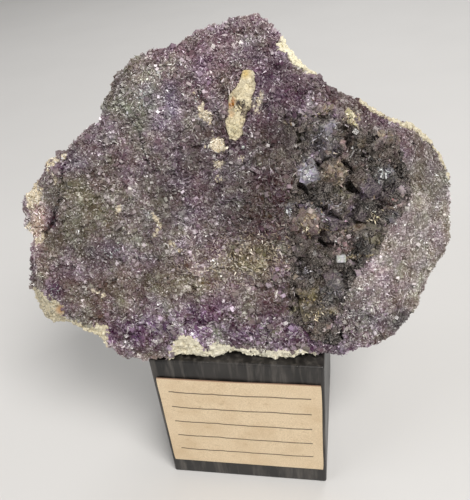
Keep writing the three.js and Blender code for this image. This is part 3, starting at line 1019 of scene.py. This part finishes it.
def crust_crystals(bed, look):
    """Small crystals all over the crust, in a few joined meshes."""
    wanted = CUBES_PER_PIECE * CUBE_PIECES + TIPS_PER_PIECE * TIP_PIECES
    places, normals = sites_on(bed, int(wanted * SITES_PER_CRYSTAL))
    outer = exposed(node_tree("host_rock", "hollow_crystals"), places, normals)
    places, normals = places[outer], normals[outer]
    first = 0
    for kind, grow, pieces, count in (
        ("cubes", druse_cubes, CUBE_PIECES, CUBES_PER_PIECE),
        ("tips", druse_tips, TIP_PIECES, TIPS_PER_PIECE),
    ):
        for number in range(pieces):
            mine = slice(first, first + count)
            grow(f"crust_{kind}_{number + 1}", places[mine], normals[mine], look)
            first += count


SLIVERS = 29000
SLIVER_SIDE = (0.13, 0.26)
SLIVER_STRETCH = (3, 9)


def slivers(bed, look):
    """Thin crystals that lie on the crust, straw-coloured along its lower middle, where the straw also
    stands as painted golden highlights.
    """
    places, normals = sites_on(bed, SLIVERS)
    front = normals @ FACE_AXES[:, 2] > 0.4
    places, normals = places[front], normals[front]
    count = len(places)
    colours, grain = druse_colours(places)
    u, v, _ = to_face(places).T
    # Straw colour along the lower middle, partly the crystals' own tint and partly painted golden
    # highlights
    straw_share = (np.exp(-inside_oval(u, v, *STRAW_OVAL)) * rng.uniform(0.1, 1, count))[:, None]
    colours = colours * (1 - straw_share) + STRAW * straw_share
    long = lying(normals, 0.3)
    sides = drawn_out(between(SLIVER_SIDE, count) * grain, SLIVER_STRETCH)
    centres = places + normals * 0.15 * MM
    turns = standing_turns(long, 0)
    crystals("slivers", TIP, centres, turns, sides, colours, look, spread=0.3)


BORDER_TRIALS = 7000
BORDER_SIDE = (0.5, 1.2)


def border_crystals(bed, look):
    """Larger cubes, half sunk, that make the crust's outer border jagged."""
    places, normals = sites_on(bed, BORDER_TRIALS)
    free = exposed(node_tree("host_rock", "hollow_crystals"), places, normals, BORDER_REACH)
    free &= normals @ FACE_AXES[:, 2] < 0.55
    places, normals = places[free], normals[free]
    count = len(places)
    colours, grain = crust_colours(places)
    colours = lit(colours, np.exp(np.clip(rng.normal(0, 0.35, count), -0.8, 0.4)))
    side = between(BORDER_SIDE, count, 1.5) * np.minimum(grain, 1) ** 3
    centres = places + normals * (side * rng.uniform(-0.4, 0, count))[:, None]
    turns = random_turns(count)
    sides = alike(side)
    crystals("border_crystals", SHARP, centres, turns, sides, colours, look, spread=0.2)


FRINGE_TRIALS = 80000
FRINGE_REACH = 0.2

# Stretches of the upper right rim that the small crystals reach across: from u to u, and how far,
# down to a depth behind the front
COVERED_RIM = ((24, 28.5, 1.6), (28.5, 38, 0.25))
RIM_DEPTH = -6


def fringe_crystals(rock, look):
    """Loose small cubes on the host rock, thick beside the crust and soon thinning out."""
    places, normals = sites_on(rock, FRINGE_TRIALS)
    crust = node_tree("fluorite_crust")
    off = distances(crust, places)
    u, v, w = to_face(places).T
    reach = np.full(len(off), FRINGE_REACH)
    for low, high, far in COVERED_RIM:
        reach[(u > low) & (u < high) & (v > 0) & (w > RIM_DEPTH)] = far
    kept = rng.random(FRINGE_TRIALS) < np.exp(-off / reach)
    places, normals = places[kept], normals[kept]
    free = exposed(crust, places, normals, OPEN_REACH) & ~beside_lump(places)
    druse_cubes("fringe_crystals", places[free], normals[free], look)


# Colours of the hollow's crystals
WHITE = linear(178, 183, 182)
PINK_WHITE = linear(188, 180, 178)
PALE_BLUE = linear(142, 138, 145)
LILAC = linear(134, 121, 127)
CREAM = linear(192, 180, 152)
GOLD = linear(144, 132, 106)
TAN = linear(132, 118, 103)
HONEY = linear(106, 96, 74)
RUST = linear(172, 118, 62)
BLUE_GREY = linear(100, 95, 96)
GREY_BROWN = linear(97, 87, 81)
PINK_BROWN = linear(112, 95, 93)
OLIVE = linear(98, 93, 76)
VIOLET_GREY = linear(87, 77, 87)
BROWN = linear(80, 70, 64)
TEAL = linear(64, 64, 66)
# DARK and BLACKISH are painted shade, for the gaps between the hollow's crystals
DARK = linear(47, 41, 38)
BLACKISH = linear(29, 27, 26)
HOLLOW_BASE = linear(76, 68, 64)

# How far the hollow's colours stand apart, how strong each patch is, and how much darker the
# crystals are, deep in shade
HOLLOW_CONTRAST = 1.4
PATCH_WEIGHT = 2.4
HOLLOW_SHADE = 0.3

# Patches of the hollow: place u and v, half length, half width, turn and colour; the BLACKISH and DARK
# patches are painted shade in the gaps between the crystals
HOLLOW_PATCHES = (
    (16.1, 15.6, 2.8, 2.1, 0, LILAC),
    (20.8, 15.9, 1.6, 1.6, 0, TAN),
    (22.9, 14.2, 1.2, 1.2, 0, LILAC),
    (26.4, 12.9, 1.7, 1.3, 0, CREAM),
    (19.9, 8.5, 2.7, 3.6, 0, BLUE_GREY),
    (21.5, 11.4, 1.4, 0.8, 30, PALE_BLUE),
    (21.7, 6.6, 1.3, 0.9, 0, VIOLET_GREY),
    (24.0, 10.6, 1.9, 2.0, 0, BROWN),
    (24.6, 6.6, 1.1, 2.2, 0, PINK_BROWN),
    (26.5, 7.4, 0.9, 3.3, 0, DARK),
    (25.5, 5.2, 1.0, 1.4, 0, BLACKISH),
    (27.8, 7.3, 1.1, 1.2, 0, TAN),
    (29.5, 8.6, 0.9, 1.2, 0, BLACKISH),
    (32.7, 5.8, 4.2, 2.1, -8, BROWN),
    (31.6, 6.4, 2.0, 1.4, -8, GREY_BROWN),
    (34.0, 8.6, 2.6, 0.9, -15, TAN),
    (25.4, 1.2, 0.8, 2.8, 12, BLACKISH),
    (28.2, 1.8, 1.5, 2.2, 0, BROWN),
    (31.8, 1.2, 2.6, 2.0, 0, TEAL),
    (35.6, 4.6, 1.4, 2.2, 0, DARK),
    (29.6, 4.0, 1.6, 0.8, 0, DARK),
    (32.2, 1.8, 1.2, 0.8, 30, PALE_BLUE),
    (34.5, 1.8, 1.5, 2.4, 0, DARK),
    (17.0, 2.6, 2.2, 1.8, 0, PALE_BLUE),
    (18.3, 4.0, 1.1, 1.0, 0, DARK),
    (22.1, 1.8, 2.6, 2.3, 0, TAN),
    (23.9, -1.4, 1.7, 1.4, 0, OLIVE),
    (21.0, -1.6, 1.9, 1.5, 0, DARK),
    (17.9, -1.9, 1.5, 1.3, 0, BLACKISH),
    (30.4, -1.9, 3.4, 1.6, 0, VIOLET_GREY),
    (29.6, -2.4, 1.4, 0.7, 30, LILAC),
    (33.7, -2.3, 1.2, 1.0, 0, BLACKISH),
    (36.2, -1.8, 1.0, 1.0, 0, LILAC),
    (12.7, -5.2, 0.6, 1.3, 0, PALE_BLUE),
    (15.3, -4.9, 1.4, 1.1, 0, VIOLET_GREY),
    (18.4, -4.2, 1.6, 1.4, 0, BLUE_GREY),
    (15.7, -8.8, 3.0, 1.7, -20, PINK_BROWN),
    (15.9, -8.2, 1.4, 0.5, -20, GOLD),
    (20.9, -6.0, 1.9, 1.3, 0, LILAC),
    (22.8, -3.7, 1.4, 1.0, 0, DARK),
    (19.4, -9.4, 1.3, 0.8, 0, TAN),
    (16.5, -6.2, 1.3, 1.1, 0, TAN),
    (21.6, -29.8, 1.6, 1.4, 0, LILAC),
    (18.6, 6.0, 1.2, 1.2, 0, LILAC),
    (22.3, -7.9, 2.0, 1.2, 0, VIOLET_GREY),
    (25.6, -5.9, 1.5, 1.3, 0, VIOLET_GREY),
    (29.2, -5.6, 2.1, 1.8, 0, BLACKISH),
    (32.9, -4.8, 2.0, 1.4, 0, PINK_BROWN),
    (33.5, -7.2, 1.4, 1.1, 0, TEAL),
    (27.2, -9.1, 1.8, 0.6, 20, TAN),
    (29.2, -9.9, 1.8, 0.6, 15, BLACKISH),
    (23.4, -12.2, 2.2, 2.0, 0, PINK_BROWN),
    (30.2, -12.1, 1.6, 1.5, 0, OLIVE),
    (27.3, -12.9, 2.0, 1.6, 0, TEAL),
    (26.2, -15.5, 2.0, 0.8, 10, BLACKISH),
    (25.8, -18.8, 1.6, 2.8, 25, BLACKISH),
    (15.4, -18.4, 1.2, 2.1, 0, BLUE_GREY),
    (17.5, -18.8, 0.9, 2.7, 0, DARK),
    (19.6, -19.1, 1.1, 2.0, 0, GREY_BROWN),
    (22.0, -21.6, 1.5, 3.4, 18, BLUE_GREY),
    (20.6, -23.9, 1.6, 1.8, 0, TEAL),
    (16.5, -23.5, 2.4, 1.9, 0, HONEY),
    (18.4, -24.6, 0.8, 1.6, 0, DARK),
    (24.0, -23.0, 0.7, 2.4, 20, DARK),
    (17.2, -27.5, 3.6, 1.3, 0, HONEY),
    (12.8, -26.9, 1.1, 0.8, 0, OLIVE),
    (13.3, -29.5, 1.6, 0.9, 0, BLACKISH),
    (16.6, -29.2, 1.9, 0.9, 0, DARK),
    (17.0, -31.3, 3.2, 2.2, 0, BROWN),
    (20.3, -34.0, 2.0, 1.2, 0, BLACKISH),
)

# Large crystals of the hollow: place u, v and w, side, and turns about u, v and w
BLOCKS = (
    ((32.7, 5.6, -3.6), 5.6, (8, -10, 12)),
    ((30.6, 0.6, -2.2), 6.4, (38, 20, 30)),
    ((34, -2.4, -2.4), 4.4, (12, 35, 55)),
    ((27.4, 8.4, -4.6), 4.4, (30, 12, 70)),
    ((24.5, 12.4, -5), 4, (44, 8, 25)),
    ((20.5, 10.8, -2.1), 4, (20, 40, 10)),
    ((21.4, 7.2, -2.3), 4, (50, 22, 64)),
    ((25.6, 5.2, -4.5), 4.6, (15, 48, 40)),
    ((17.6, 12, -1.1), 3.4, (34, 30, 5)),
    ((21.7, 2.4, -1.5), 4.2, (25, -14, 48)),
    ((17.2, 2, -0.8), 3.6, (42, 16, 20)),
    ((19.4, -1.8, -1.8), 4.6, (12, 30, 75)),
    ((23.2, -4.6, -2.1), 5, (36, 44, 15)),
    ((28.4, -5.4, -3.1), 5, (20, 20, 60)),
    ((16, -7.4, -0.8), 5.2, (40, -20, 33)),
    ((21.6, -9.2, -2.3), 4.8, (28, 33, 80)),
    ((25.6, -11.6, -2.5), 5, (50, 10, 42)),
    ((29, -11.8, -1.1), 4.8, (16, 28, 8)),
    ((14.9, -12.8, -1.3), 4, (30, 38, 54)),
    ((22.8, -15.9, -1.8), 4.4, (22, -30, 26)),
    ((17.7, -16.6, -2.2), 5.6, (44, 24, 66)),
    ((15.8, -21.6, -1.8), 4.6, (18, 42, 12)),
    ((21, -22, -2.6), 5.2, (33, 14, 38)),
    ((16.6, -27.2, -2.6), 5.4, (14, 8, 8)),
    ((15.2, -29.2, -3.4), 3.6, (40, 30, 50)),
    ((18, -31.4, -2.3), 4.4, (26, 36, 72)),
    ((20.6, -33.4, -1.3), 3.4, (48, 18, 30)),
    ((34.2, 2.6, -4.2), 3.6, (30, 45, 10)),
)

# Ragged edge of the hollow where its crystals run out over the crust
HOLLOW_EDGE = (
    (34.5, 8.6), (28.1, 11), (24.4, 14), (21.4, 15.2), (16.6, 14.8), (13.8, 14), (13.6, 10.3),
    (13.2, 4.3), (12, -1.9), (10.4, -6), (11.2, -10.3), (10.9, -14.6), (11.4, -19), (11, -23.5),
    (11, -27.3), (12.4, -30.4), (15, -33.6),
)
EDGE_COUNT = 1000
EDGE_SIDE = (0.4, 1.1)
EDGE_SPREADS = (0.4, 1.2, 2.2)

# Golden seams between crystals
GOLDEN_SEAMS = (
    ((12.1, 13.1), (14, 13.6), (16.6, 13.8), (19.7, 14.2), (21, 14.6), (22.7, 15.8)),
    ((13, -7.7), (14.8, -6.5), (16.2, -6.4)),
    ((15.9, -9.6), (17.5, -9.9), (19.9, -9.4), (24, -10.2), (26.1, -9.6), (28.4, -8.4)),
    ((23.9, -16), (26.6, -15.7), (29, -15)),
)
SEAM_COUNT = 110
SEAM_SIDE = (0.15, 0.4)
SEAM_SPREAD = 0.18

# Painted highlights, single bright crystals: place u and v, side and colour; the first one looks
# straight out as a painted reflection
PAINTED_GLEAMS = (
    (22.9, -15.5, 1.9, WHITE),
    (26.3, 13.2, 1.1, CREAM),
    (25.7, 12.4, 0.9, CREAM),
    (27.8, 7.3, 0.8, CREAM),
    (16.2, 2.7, 0.8, WHITE),
    (-12.2, 23.6, 0.7, WHITE),
    (-12.5, 24.5, 0.6, WHITE),
    (-10.5, 23.9, 0.5, WHITE),
    (-19.9, 17.0, 0.6, WHITE),
    (-25.1, -10.4, 0.5, WHITE),
    (-25.1, -11.9, 0.5, WHITE),
    (-26.9, -13.6, 0.5, WHITE),
    (3.7, 8.6, 0.6, WHITE),
)

# Most groups are painted highlights; the brown, tan, cream and rust ones on the lump are its own
# colours
# Groups of thin crystals: place u and v, reach, how many and colour
PAINTED_GLINTS_AND_LUMP_CRYSTALS = (
    (26.4, 13.0, 1.3, 26, CREAM),
    (16.8, 2.6, 1.5, 26, WHITE),
    (19.6, 9.0, 2.3, 60, PALE_BLUE),
    (17.0, 13.4, 1.9, 34, LILAC),
    (22.6, 4.6, 1.6, 26, TAN),
    (23.0, 12.6, 1.2, 12, PINK_WHITE),
    (31.9, 1.6, 1.8, 40, WHITE),
    (30.4, -1.9, 2.0, 18, LILAC),
    (36.4, -2.2, 0.8, 10, LILAC),
    (12.7, -5.2, 0.9, 18, WHITE),
    (15.6, -8.4, 1.4, 30, STRAW),
    (16.6, -9.6, 0.8, 14, CREAM),
    (19.3, -6.0, 1.6, 14, WHITE),
    (30.2, -7.6, 1.5, 24, CREAM),
    (33.0, -5.9, 1.2, 12, TAN),
    (23.4, -12.2, 1.9, 40, PINK_WHITE),
    (21.4, -4.4, 2.2, 30, PALE_BLUE),
    (26.4, -3.6, 1.6, 22, LILAC),
    (18.2, -12.6, 1.6, 16, LILAC),
    (12.2, -13.4, 1.5, 16, TAN),
    (15.4, -18.4, 1.2, 14, PALE_BLUE),
    (21.8, -21.8, 1.6, 22, PALE_BLUE),
    (12.4, -23.4, 1.2, 14, PINK_WHITE),
    (17.4, -27.4, 2.0, 20, STRAW),
    (24.2, -23.8, 1.2, 14, PINK_WHITE),
    (24.4, -28.6, 2.0, 34, PINK_WHITE),
    (22.4, -32.0, 1.6, 24, PINK_WHITE),
    (3.8, 16.8, 1.2, 34, BROWN),
    (4.4, 15.6, 1.1, 22, TAN),
    (3.2, 16.4, 1.2, 16, CREAM),
    (2.2, 17.5, 0.9, 14, RUST),
    (14.4, 13.6, 1.6, 14, TAN),
    (20.6, 15.4, 1.6, 16, TAN),
    (-16.6, 20.6, 3.2, 26, WHITE),
    (-5.2, 19.4, 2.2, 16, WHITE),
    (-26.4, -12.4, 2.4, 16, WHITE),
    (-41.0, -21.0, 1.8, 14, WHITE),
    (-8.0, -29.4, 3.0, 22, PINK_WHITE),
    (8.0, -31.6, 3.2, 26, PINK_WHITE),
)
GLINT_SIDE = (0.12, 0.26)
GLINT_STRETCH = (3, 8)

# Colours that single crystals take anywhere in the hollow
STRAYS = (GREY_BROWN, BLUE_GREY, BROWN, VIOLET_GREY, TAN, LILAC)

# Growth steps on each large crystal: how many, their side as a share of its own, and how far
# they stand out in mm
STEPS_PER_BLOCK = 12
STEP_SHARE = (0.2, 0.5)
STEP_RISE = (0.06, 0.3)

# Small cubes and thin tips on the hollow's surface: how many, their side and their stretch
SMALL_IN_HOLLOW = 1000
SMALL_SIDE = (0.3, 1.1)
TIPS_IN_HOLLOW = 5000
HOLLOW_TIP_SIDE = (0.15, 0.4)
HOLLOW_TIP_STRETCH = (2, 7)


def block_turn(turns):
    """The rotation matrix of a large crystal, from its turns about u, v and w."""
    about_u, about_v, about_w = (
        Matrix.Rotation(math.radians(angle), 3, axis) for angle, axis in zip(turns, "XYZ")
    )
    return FACE_AXES @ np.array(about_u @ about_v @ about_w)


def growth_steps(width, turn, middle):
    """Smaller cubes that share a large crystal's directions and stand a little out of its faces."""
    count = STEPS_PER_BLOCK
    side = width * rng.uniform(*STEP_SHARE, count)
    offset = rng.uniform(-0.42, 0.42, (count, 3)) * width
    axis = rng.integers(0, 3, count)
    outward = rng.choice((-1, 1), count)
    proud = rng.uniform(*STEP_RISE, count) * MM
    offset[np.arange(count), axis] = outward * (width / 2 + proud - side / 2)
    return middle + offset @ turn.T, np.repeat(turn[None], count, axis=0), side


def hollow_colours(places, spread, strays=0.0):
    """Colours in the hollow, painted darker as painted shade, each a little lighter or darker, a share
    of them from anywhere.
    """
    u, v, _ = to_face(places).T
    ragged = 1 + 0.7 * lumps(places, 1.6 * MM, 96) + 0.4 * lumps(places, 0.7 * MM, 97)
    total = np.full(len(u), 0.5)
    colours = np.outer(total, HOLLOW_BASE)
    for middle_u, middle_v, length, width, turn, colour in HOLLOW_PATCHES:
        off = inside_oval(u, v, (middle_u, middle_v), length, width, turn) * ragged
        weight = PATCH_WEIGHT * np.exp(-(off**2))
        total += weight
        colours += np.outer(weight, colour)
    colours = HOLLOW_BASE * (colours / total[:, None] / HOLLOW_BASE) ** HOLLOW_CONTRAST
    stray = rng.random(len(u)) < strays
    colours[stray] = np.array(STRAYS)[rng.integers(0, len(STRAYS), stray.sum())]
    return colours * np.exp(rng.normal(-HOLLOW_SHADE, spread, len(u)))[:, None]


def hollow_surface(material):
    """The crystals grown together, broken into irregular facets and steps."""
    mesh = fine_copy("hollow_crystals", HOLLOW_VOXEL)
    points = corners_of(mesh)
    height = 0.65 * chips(points, FACET, 90) + 0.35 * chips(points, SMALL_FACET, 91) - 0.1
    beside = distances(node_tree("fluorite_crust"), points)
    height = np.where(beside < 0.8, np.maximum(height, 0.2), height)
    # Painted shade and light: the height term paints low places darker and high places lighter, and
    # the offset paints the whole hollow darker; facets and lumps vary the tone at random
    shade = 0.9 * facets(points, FACET, 90) + 0.7 * facets(points, SMALL_FACET, 91)
    shade += 0.9 * height + 0.5 * lumps(points, 4.5 * MM, 93) - 0.5
    colours = hollow_colours(points, 0.12) * np.exp(shade)[:, None]
    push_out(mesh, points, height)
    paint(mesh, colours, "POINT")
    mesh.shade_flat()
    return shown("hollow_surface", mesh, material, "hollow_crystals", "hollow_crystals")


def hollow_crystals(surface, look):
    """The large cubes, the steps and tips on their faces, and the small cubes between them."""
    places, widths, angles = zip(*BLOCKS)
    middles = from_face(places)
    widths = np.array(widths) * MM
    turns = np.array([block_turn(row) for row in angles])
    sides = widths[:, None] * rng.uniform(0.9, 1.04, (len(BLOCKS), 3))
    tints = hollow_colours(middles, 0)
    large = crystals("large_crystals", WORN, middles, turns, sides, tints, look, spread=0.2)

    steps = [growth_steps(*row) for row in zip(widths, turns, middles)]
    centres, step_turns, side = (np.concatenate(column) for column in zip(*steps))
    tints = hollow_colours(centres, 0.45, 0.06)
    crystals("growth_steps", SHARP, centres, step_turns, alike(side), tints, look, spread=0.25)

    places, _ = sites_on(surface, SMALL_IN_HOLLOW)
    side = rng.uniform(*SMALL_SIDE, SMALL_IN_HOLLOW) ** 1.3 * MM
    tints = hollow_colours(places, 0.5, 0.08)
    turns = random_turns(SMALL_IN_HOLLOW)
    crystals("small_crystals", SHARP, places, turns, alike(side), tints, look, spread=0.25)

    places, normals = sites_on(surface, TIPS_IN_HOLLOW)
    coated = lumps(places, 3 * MM, 95) > rng.uniform(-0.6, 0.6, TIPS_IN_HOLLOW)
    places, normals = places[coated], normals[coated]
    sides = drawn_out(between(HOLLOW_TIP_SIDE, len(places)), HOLLOW_TIP_STRETCH)
    # Painted highlights: the tips are painted half again lighter than the hollow's colours
    tints = hollow_colours(places, 0.6, 0.12) * 1.5
    turns = standing_turns(normals, 1.2)
    crystals("hollow_tips", TIP, places, turns, sides, tints, look, spread=0.35)
    return large


def edge_crystals(surface, look):
    """Middle-sized cubes that fill the step between the hollow and the crust and run out over it."""
    places = spread_along(HOLLOW_EDGE, EDGE_COUNT)
    places += rng.normal(0, 1, (EDGE_COUNT, 2)) * rng.choice(EDGE_SPREADS, (EDGE_COUNT, 1))
    side = between(EDGE_SIDE, EDGE_COUNT, 1.6)
    beside = [front_level(surface, places + step) for step in ((-1, 0), (0, 0), (1, 0))]
    level = np.median(beside, axis=0) - side / MM * rng.uniform(0.15, 0.6, EDGE_COUNT)
    centres = from_face(np.column_stack([places, level]))
    tints = 0.5 * hollow_colours(centres, 0.3, 0.1) + 0.4 * crust_colours(centres)[0]
    near = distances(surface, centres) < side / MM * 0.6
    centres, sides, tints = centres[near], alike(side[near]), tints[near]
    turns = random_turns(len(centres))
    crystals("edge_crystals", SHARP, centres, turns, sides, tints, look, spread=0.25)


def golden_seams(surface, look):
    """Thin golden lines of small crystals where larger ones meet."""
    normals = np.tile(FACE_AXES[:, 2], (SEAM_COUNT, 1))
    for number, line in enumerate(GOLDEN_SEAMS):
        places = spread_along(line, SEAM_COUNT) + rng.normal(0, SEAM_SPREAD, (SEAM_COUNT, 2))
        centres = from_front(surface, places)
        sides = alike(between(SEAM_SIDE, SEAM_COUNT))
        tints = GOLD * np.exp(rng.normal(0, 0.45, SEAM_COUNT))[:, None]
        name = f"golden_seam_{number + 1}"
        turns = standing_turns(normals, 0.6)
        crystals(name, TIP, centres, turns, sides, tints, look, spread=0.3)


def painted_gleams(surface, look):
    """Single cubes painted bright as painted highlights, the first one flattened and looking straight
    out as a face with a painted reflection.
    """
    centres = from_front(surface, [(u, v) for u, v, _, _ in PAINTED_GLEAMS])
    sides = alike(np.array([side for _, _, side, _ in PAINTED_GLEAMS]) * MM)
    sides[0, 1] *= 0.8
    tints = np.array([colour for _, _, _, colour in PAINTED_GLEAMS])
    turns = random_turns(len(PAINTED_GLEAMS))
    turns[0] = FACE_AXES
    crystals("painted_gleam_crystals", WORN, centres, turns, sides, tints, look, spread=0.1)


def painted_glints_and_lump_crystals(surface, look):
    """Thin crystals that lie in groups, most painted pale as painted highlights, those on the lump in
    its own colours.
    """
    places = []
    tints = []
    for u, v, reach, count, colour in PAINTED_GLINTS_AND_LUMP_CRYSTALS:
        places.append((u, v) + rng.normal(0, 0.5 * reach, (count, 2)))
        tints.append(colour * np.exp(rng.normal(0, 0.35, count))[:, None])
    centres = from_front(surface, np.concatenate(places))
    level = np.tile(FACE_AXES[:, 2], (len(centres), 1))
    long = lying(level, 0.2)
    sides = drawn_out(between(GLINT_SIDE, len(centres)), GLINT_STRETCH)
    turns = standing_turns(long, 0)
    centres = centres + level * 0.1 * MM
    tints = np.concatenate(tints)
    crystals("painted_glints_and_lump_crystals", TIP, centres, turns, sides, tints, look, spread=0.3)


# Label

# The sheet's faces across and up, and its thickness and how far it waves in mm
SHEET_FACES = (48, 38)
SHEET_THICKNESS = 0.12
SHEET_WAVE = 0.11


def paper_label():
    """A sheet cut by hand, a little wavy, with its corners not quite square."""
    low, high = (np.array(corner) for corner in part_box("paper_label"))
    form = bmesh.new()
    bmesh.ops.create_grid(form, x_segments=SHEET_FACES[0], y_segments=SHEET_FACES[1], size=0.5)
    size = high - low
    for corner in form.verts:
        x, z = corner.co.x, corner.co.y
        corner.co = (low[0] + (x + 0.5) * size[0], low[1], low[2] + (z + 0.5) * size[2])
    bmesh.ops.recalc_face_normals(form, faces=form.faces[:])
    bmesh.ops.solidify(form, geom=form.faces[:], thickness=SHEET_THICKNESS * MM)
    mesh = bpy.data.meshes.new("label_sheet")
    form.to_mesh(mesh)
    form.free()
    points = corners_of(mesh)
    middle = (low + high) / 2
    off = (points - middle) / (size / 2)
    uneven = 0.05 * MM * (1 + lumps(points, 7 * MM, 40))
    cut = np.abs(off[:, 0]) ** 12 * np.abs(off[:, 2]) ** 12 * 0.15 * MM
    points[:, 0] -= off[:, 0] * np.abs(off[:, 0]) ** 3 * uneven + np.sign(off[:, 0]) * cut
    points[:, 2] -= off[:, 2] * np.abs(off[:, 2]) ** 3 * uneven
    thick = points[:, 1] - points[:, 1].min()
    points[:, 1] = low[1] + thick + SHEET_WAVE * MM * (1 + lumps(points * (1, 0, 1), 9 * MM, 41))
    reshape(mesh, points)
    shown("label_sheet", mesh, paper_material(low, high), "paper_label", "paper_label")


# Floor, light and camera

# The camera's place in mm, its angles in degrees and its lens
CAMERA_PLACE = (24.466, -113.511, 137.16)
CAMERA_AZIMUTH = -12.72
CAMERA_DROP = 34.204
CAMERA_ROLL = -6.766
CAMERA_LENS = 43.2


def camera():
    """The view of the photo."""
    a, d, r = (math.radians(x) for x in (CAMERA_AZIMUTH, CAMERA_DROP, CAMERA_ROLL))
    forward = Vector((math.sin(a) * math.cos(d), math.cos(a) * math.cos(d), -math.sin(d)))
    level = Vector((math.cos(a), -math.sin(a), 0))
    upright = level.cross(forward)
    right = level * math.cos(r) + upright * math.sin(r)
    up = upright * math.cos(r) - level * math.sin(r)
    data = bpy.data.cameras.new("camera")
    data.lens = CAMERA_LENS
    data.sensor_width = 36
    data.clip_start = 0.01
    eye = bpy.data.objects.new("camera", data)
    axes = Matrix((right, up, -forward)).transposed().to_4x4()
    eye.matrix_world = Matrix.Translation(Vector(CAMERA_PLACE) * MM) @ axes
    bpy.context.collection.objects.link(eye)
    bpy.context.scene.camera = eye


# Square soft lamps: name, place and size in metres, watts and colour
LAMPS = (
    ("window", (0.35, -0.4, 0.8), 0.4, 8, (1, 0.98, 0.95)),
    ("fill", (-0.6, -0.35, 0.4), 0.5, 1.5, (1, 1, 1)),
    ("back", (0.1, 0.6, 0.6), 0.4, 2, (1, 1, 1)),
)
LAMP_AIM = (0, 0, 0.06)
ROOM_COLOUR = (1, 0.99, 0.97, 1)
ROOM_STRENGTH = 0.25
FLOOR_SIDE = 4


def lamp(name, place, size, watts, colour):
    """A square soft light that points at the specimen."""
    data = bpy.data.lights.new(name, "AREA")
    data.size = size
    data.energy = watts
    data.color = colour
    light = bpy.data.objects.new(name, data)
    light.location = place
    aim = Vector(LAMP_AIM) - Vector(place)
    light.rotation_euler = aim.to_track_quat("-Z", "Y").to_euler()
    bpy.context.collection.objects.link(light)


def studio():
    """A pale floor under soft light."""
    bpy.ops.mesh.primitive_plane_add(size=FLOOR_SIDE)
    floor = bpy.context.object
    floor.name = "floor"
    floor.data.materials.append(floor_material())
    world = bpy.data.worlds.new("room")
    bpy.context.scene.world = world
    world.use_nodes = True
    background = world.node_tree.nodes["Background"]
    background.inputs["Color"].default_value = ROOM_COLOUR
    background.inputs["Strength"].default_value = ROOM_STRENGTH
    for row in LAMPS:
        lamp(*row)
    bpy.context.scene.view_settings.view_transform = "Standard"


camera()
pale_rock = rock_material()
rock = host_rock(pale_rock)
bed = crust_bed(bed_material())
small_fluorite = small_crystal_material()
large_fluorite = large_crystal_material()
hollow = hollow_surface(large_fluorite)
crust_look = (small_fluorite, "fluorite_crust")
crust_crystals(bed, crust_look)
border_crystals(bed, crust_look)
fringe_crystals(rock, crust_look)
rock_crumbs(rock, (pale_rock, "host_rock"))
slivers(bed, crust_look)
hollow_look = (large_fluorite, "hollow_crystals")
large = hollow_crystals(hollow, hollow_look)
front = tree_of(bed, hollow, large, rock)
edge_crystals(front, hollow_look)
golden_seams(front, hollow_look)
painted_gleams(front, hollow_look)
painted_glints_and_lump_crystals(front, (small_fluorite, "hollow_crystals"))
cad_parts["display_block"].material_slots[0].material = block_material()
paper_label()
studio()
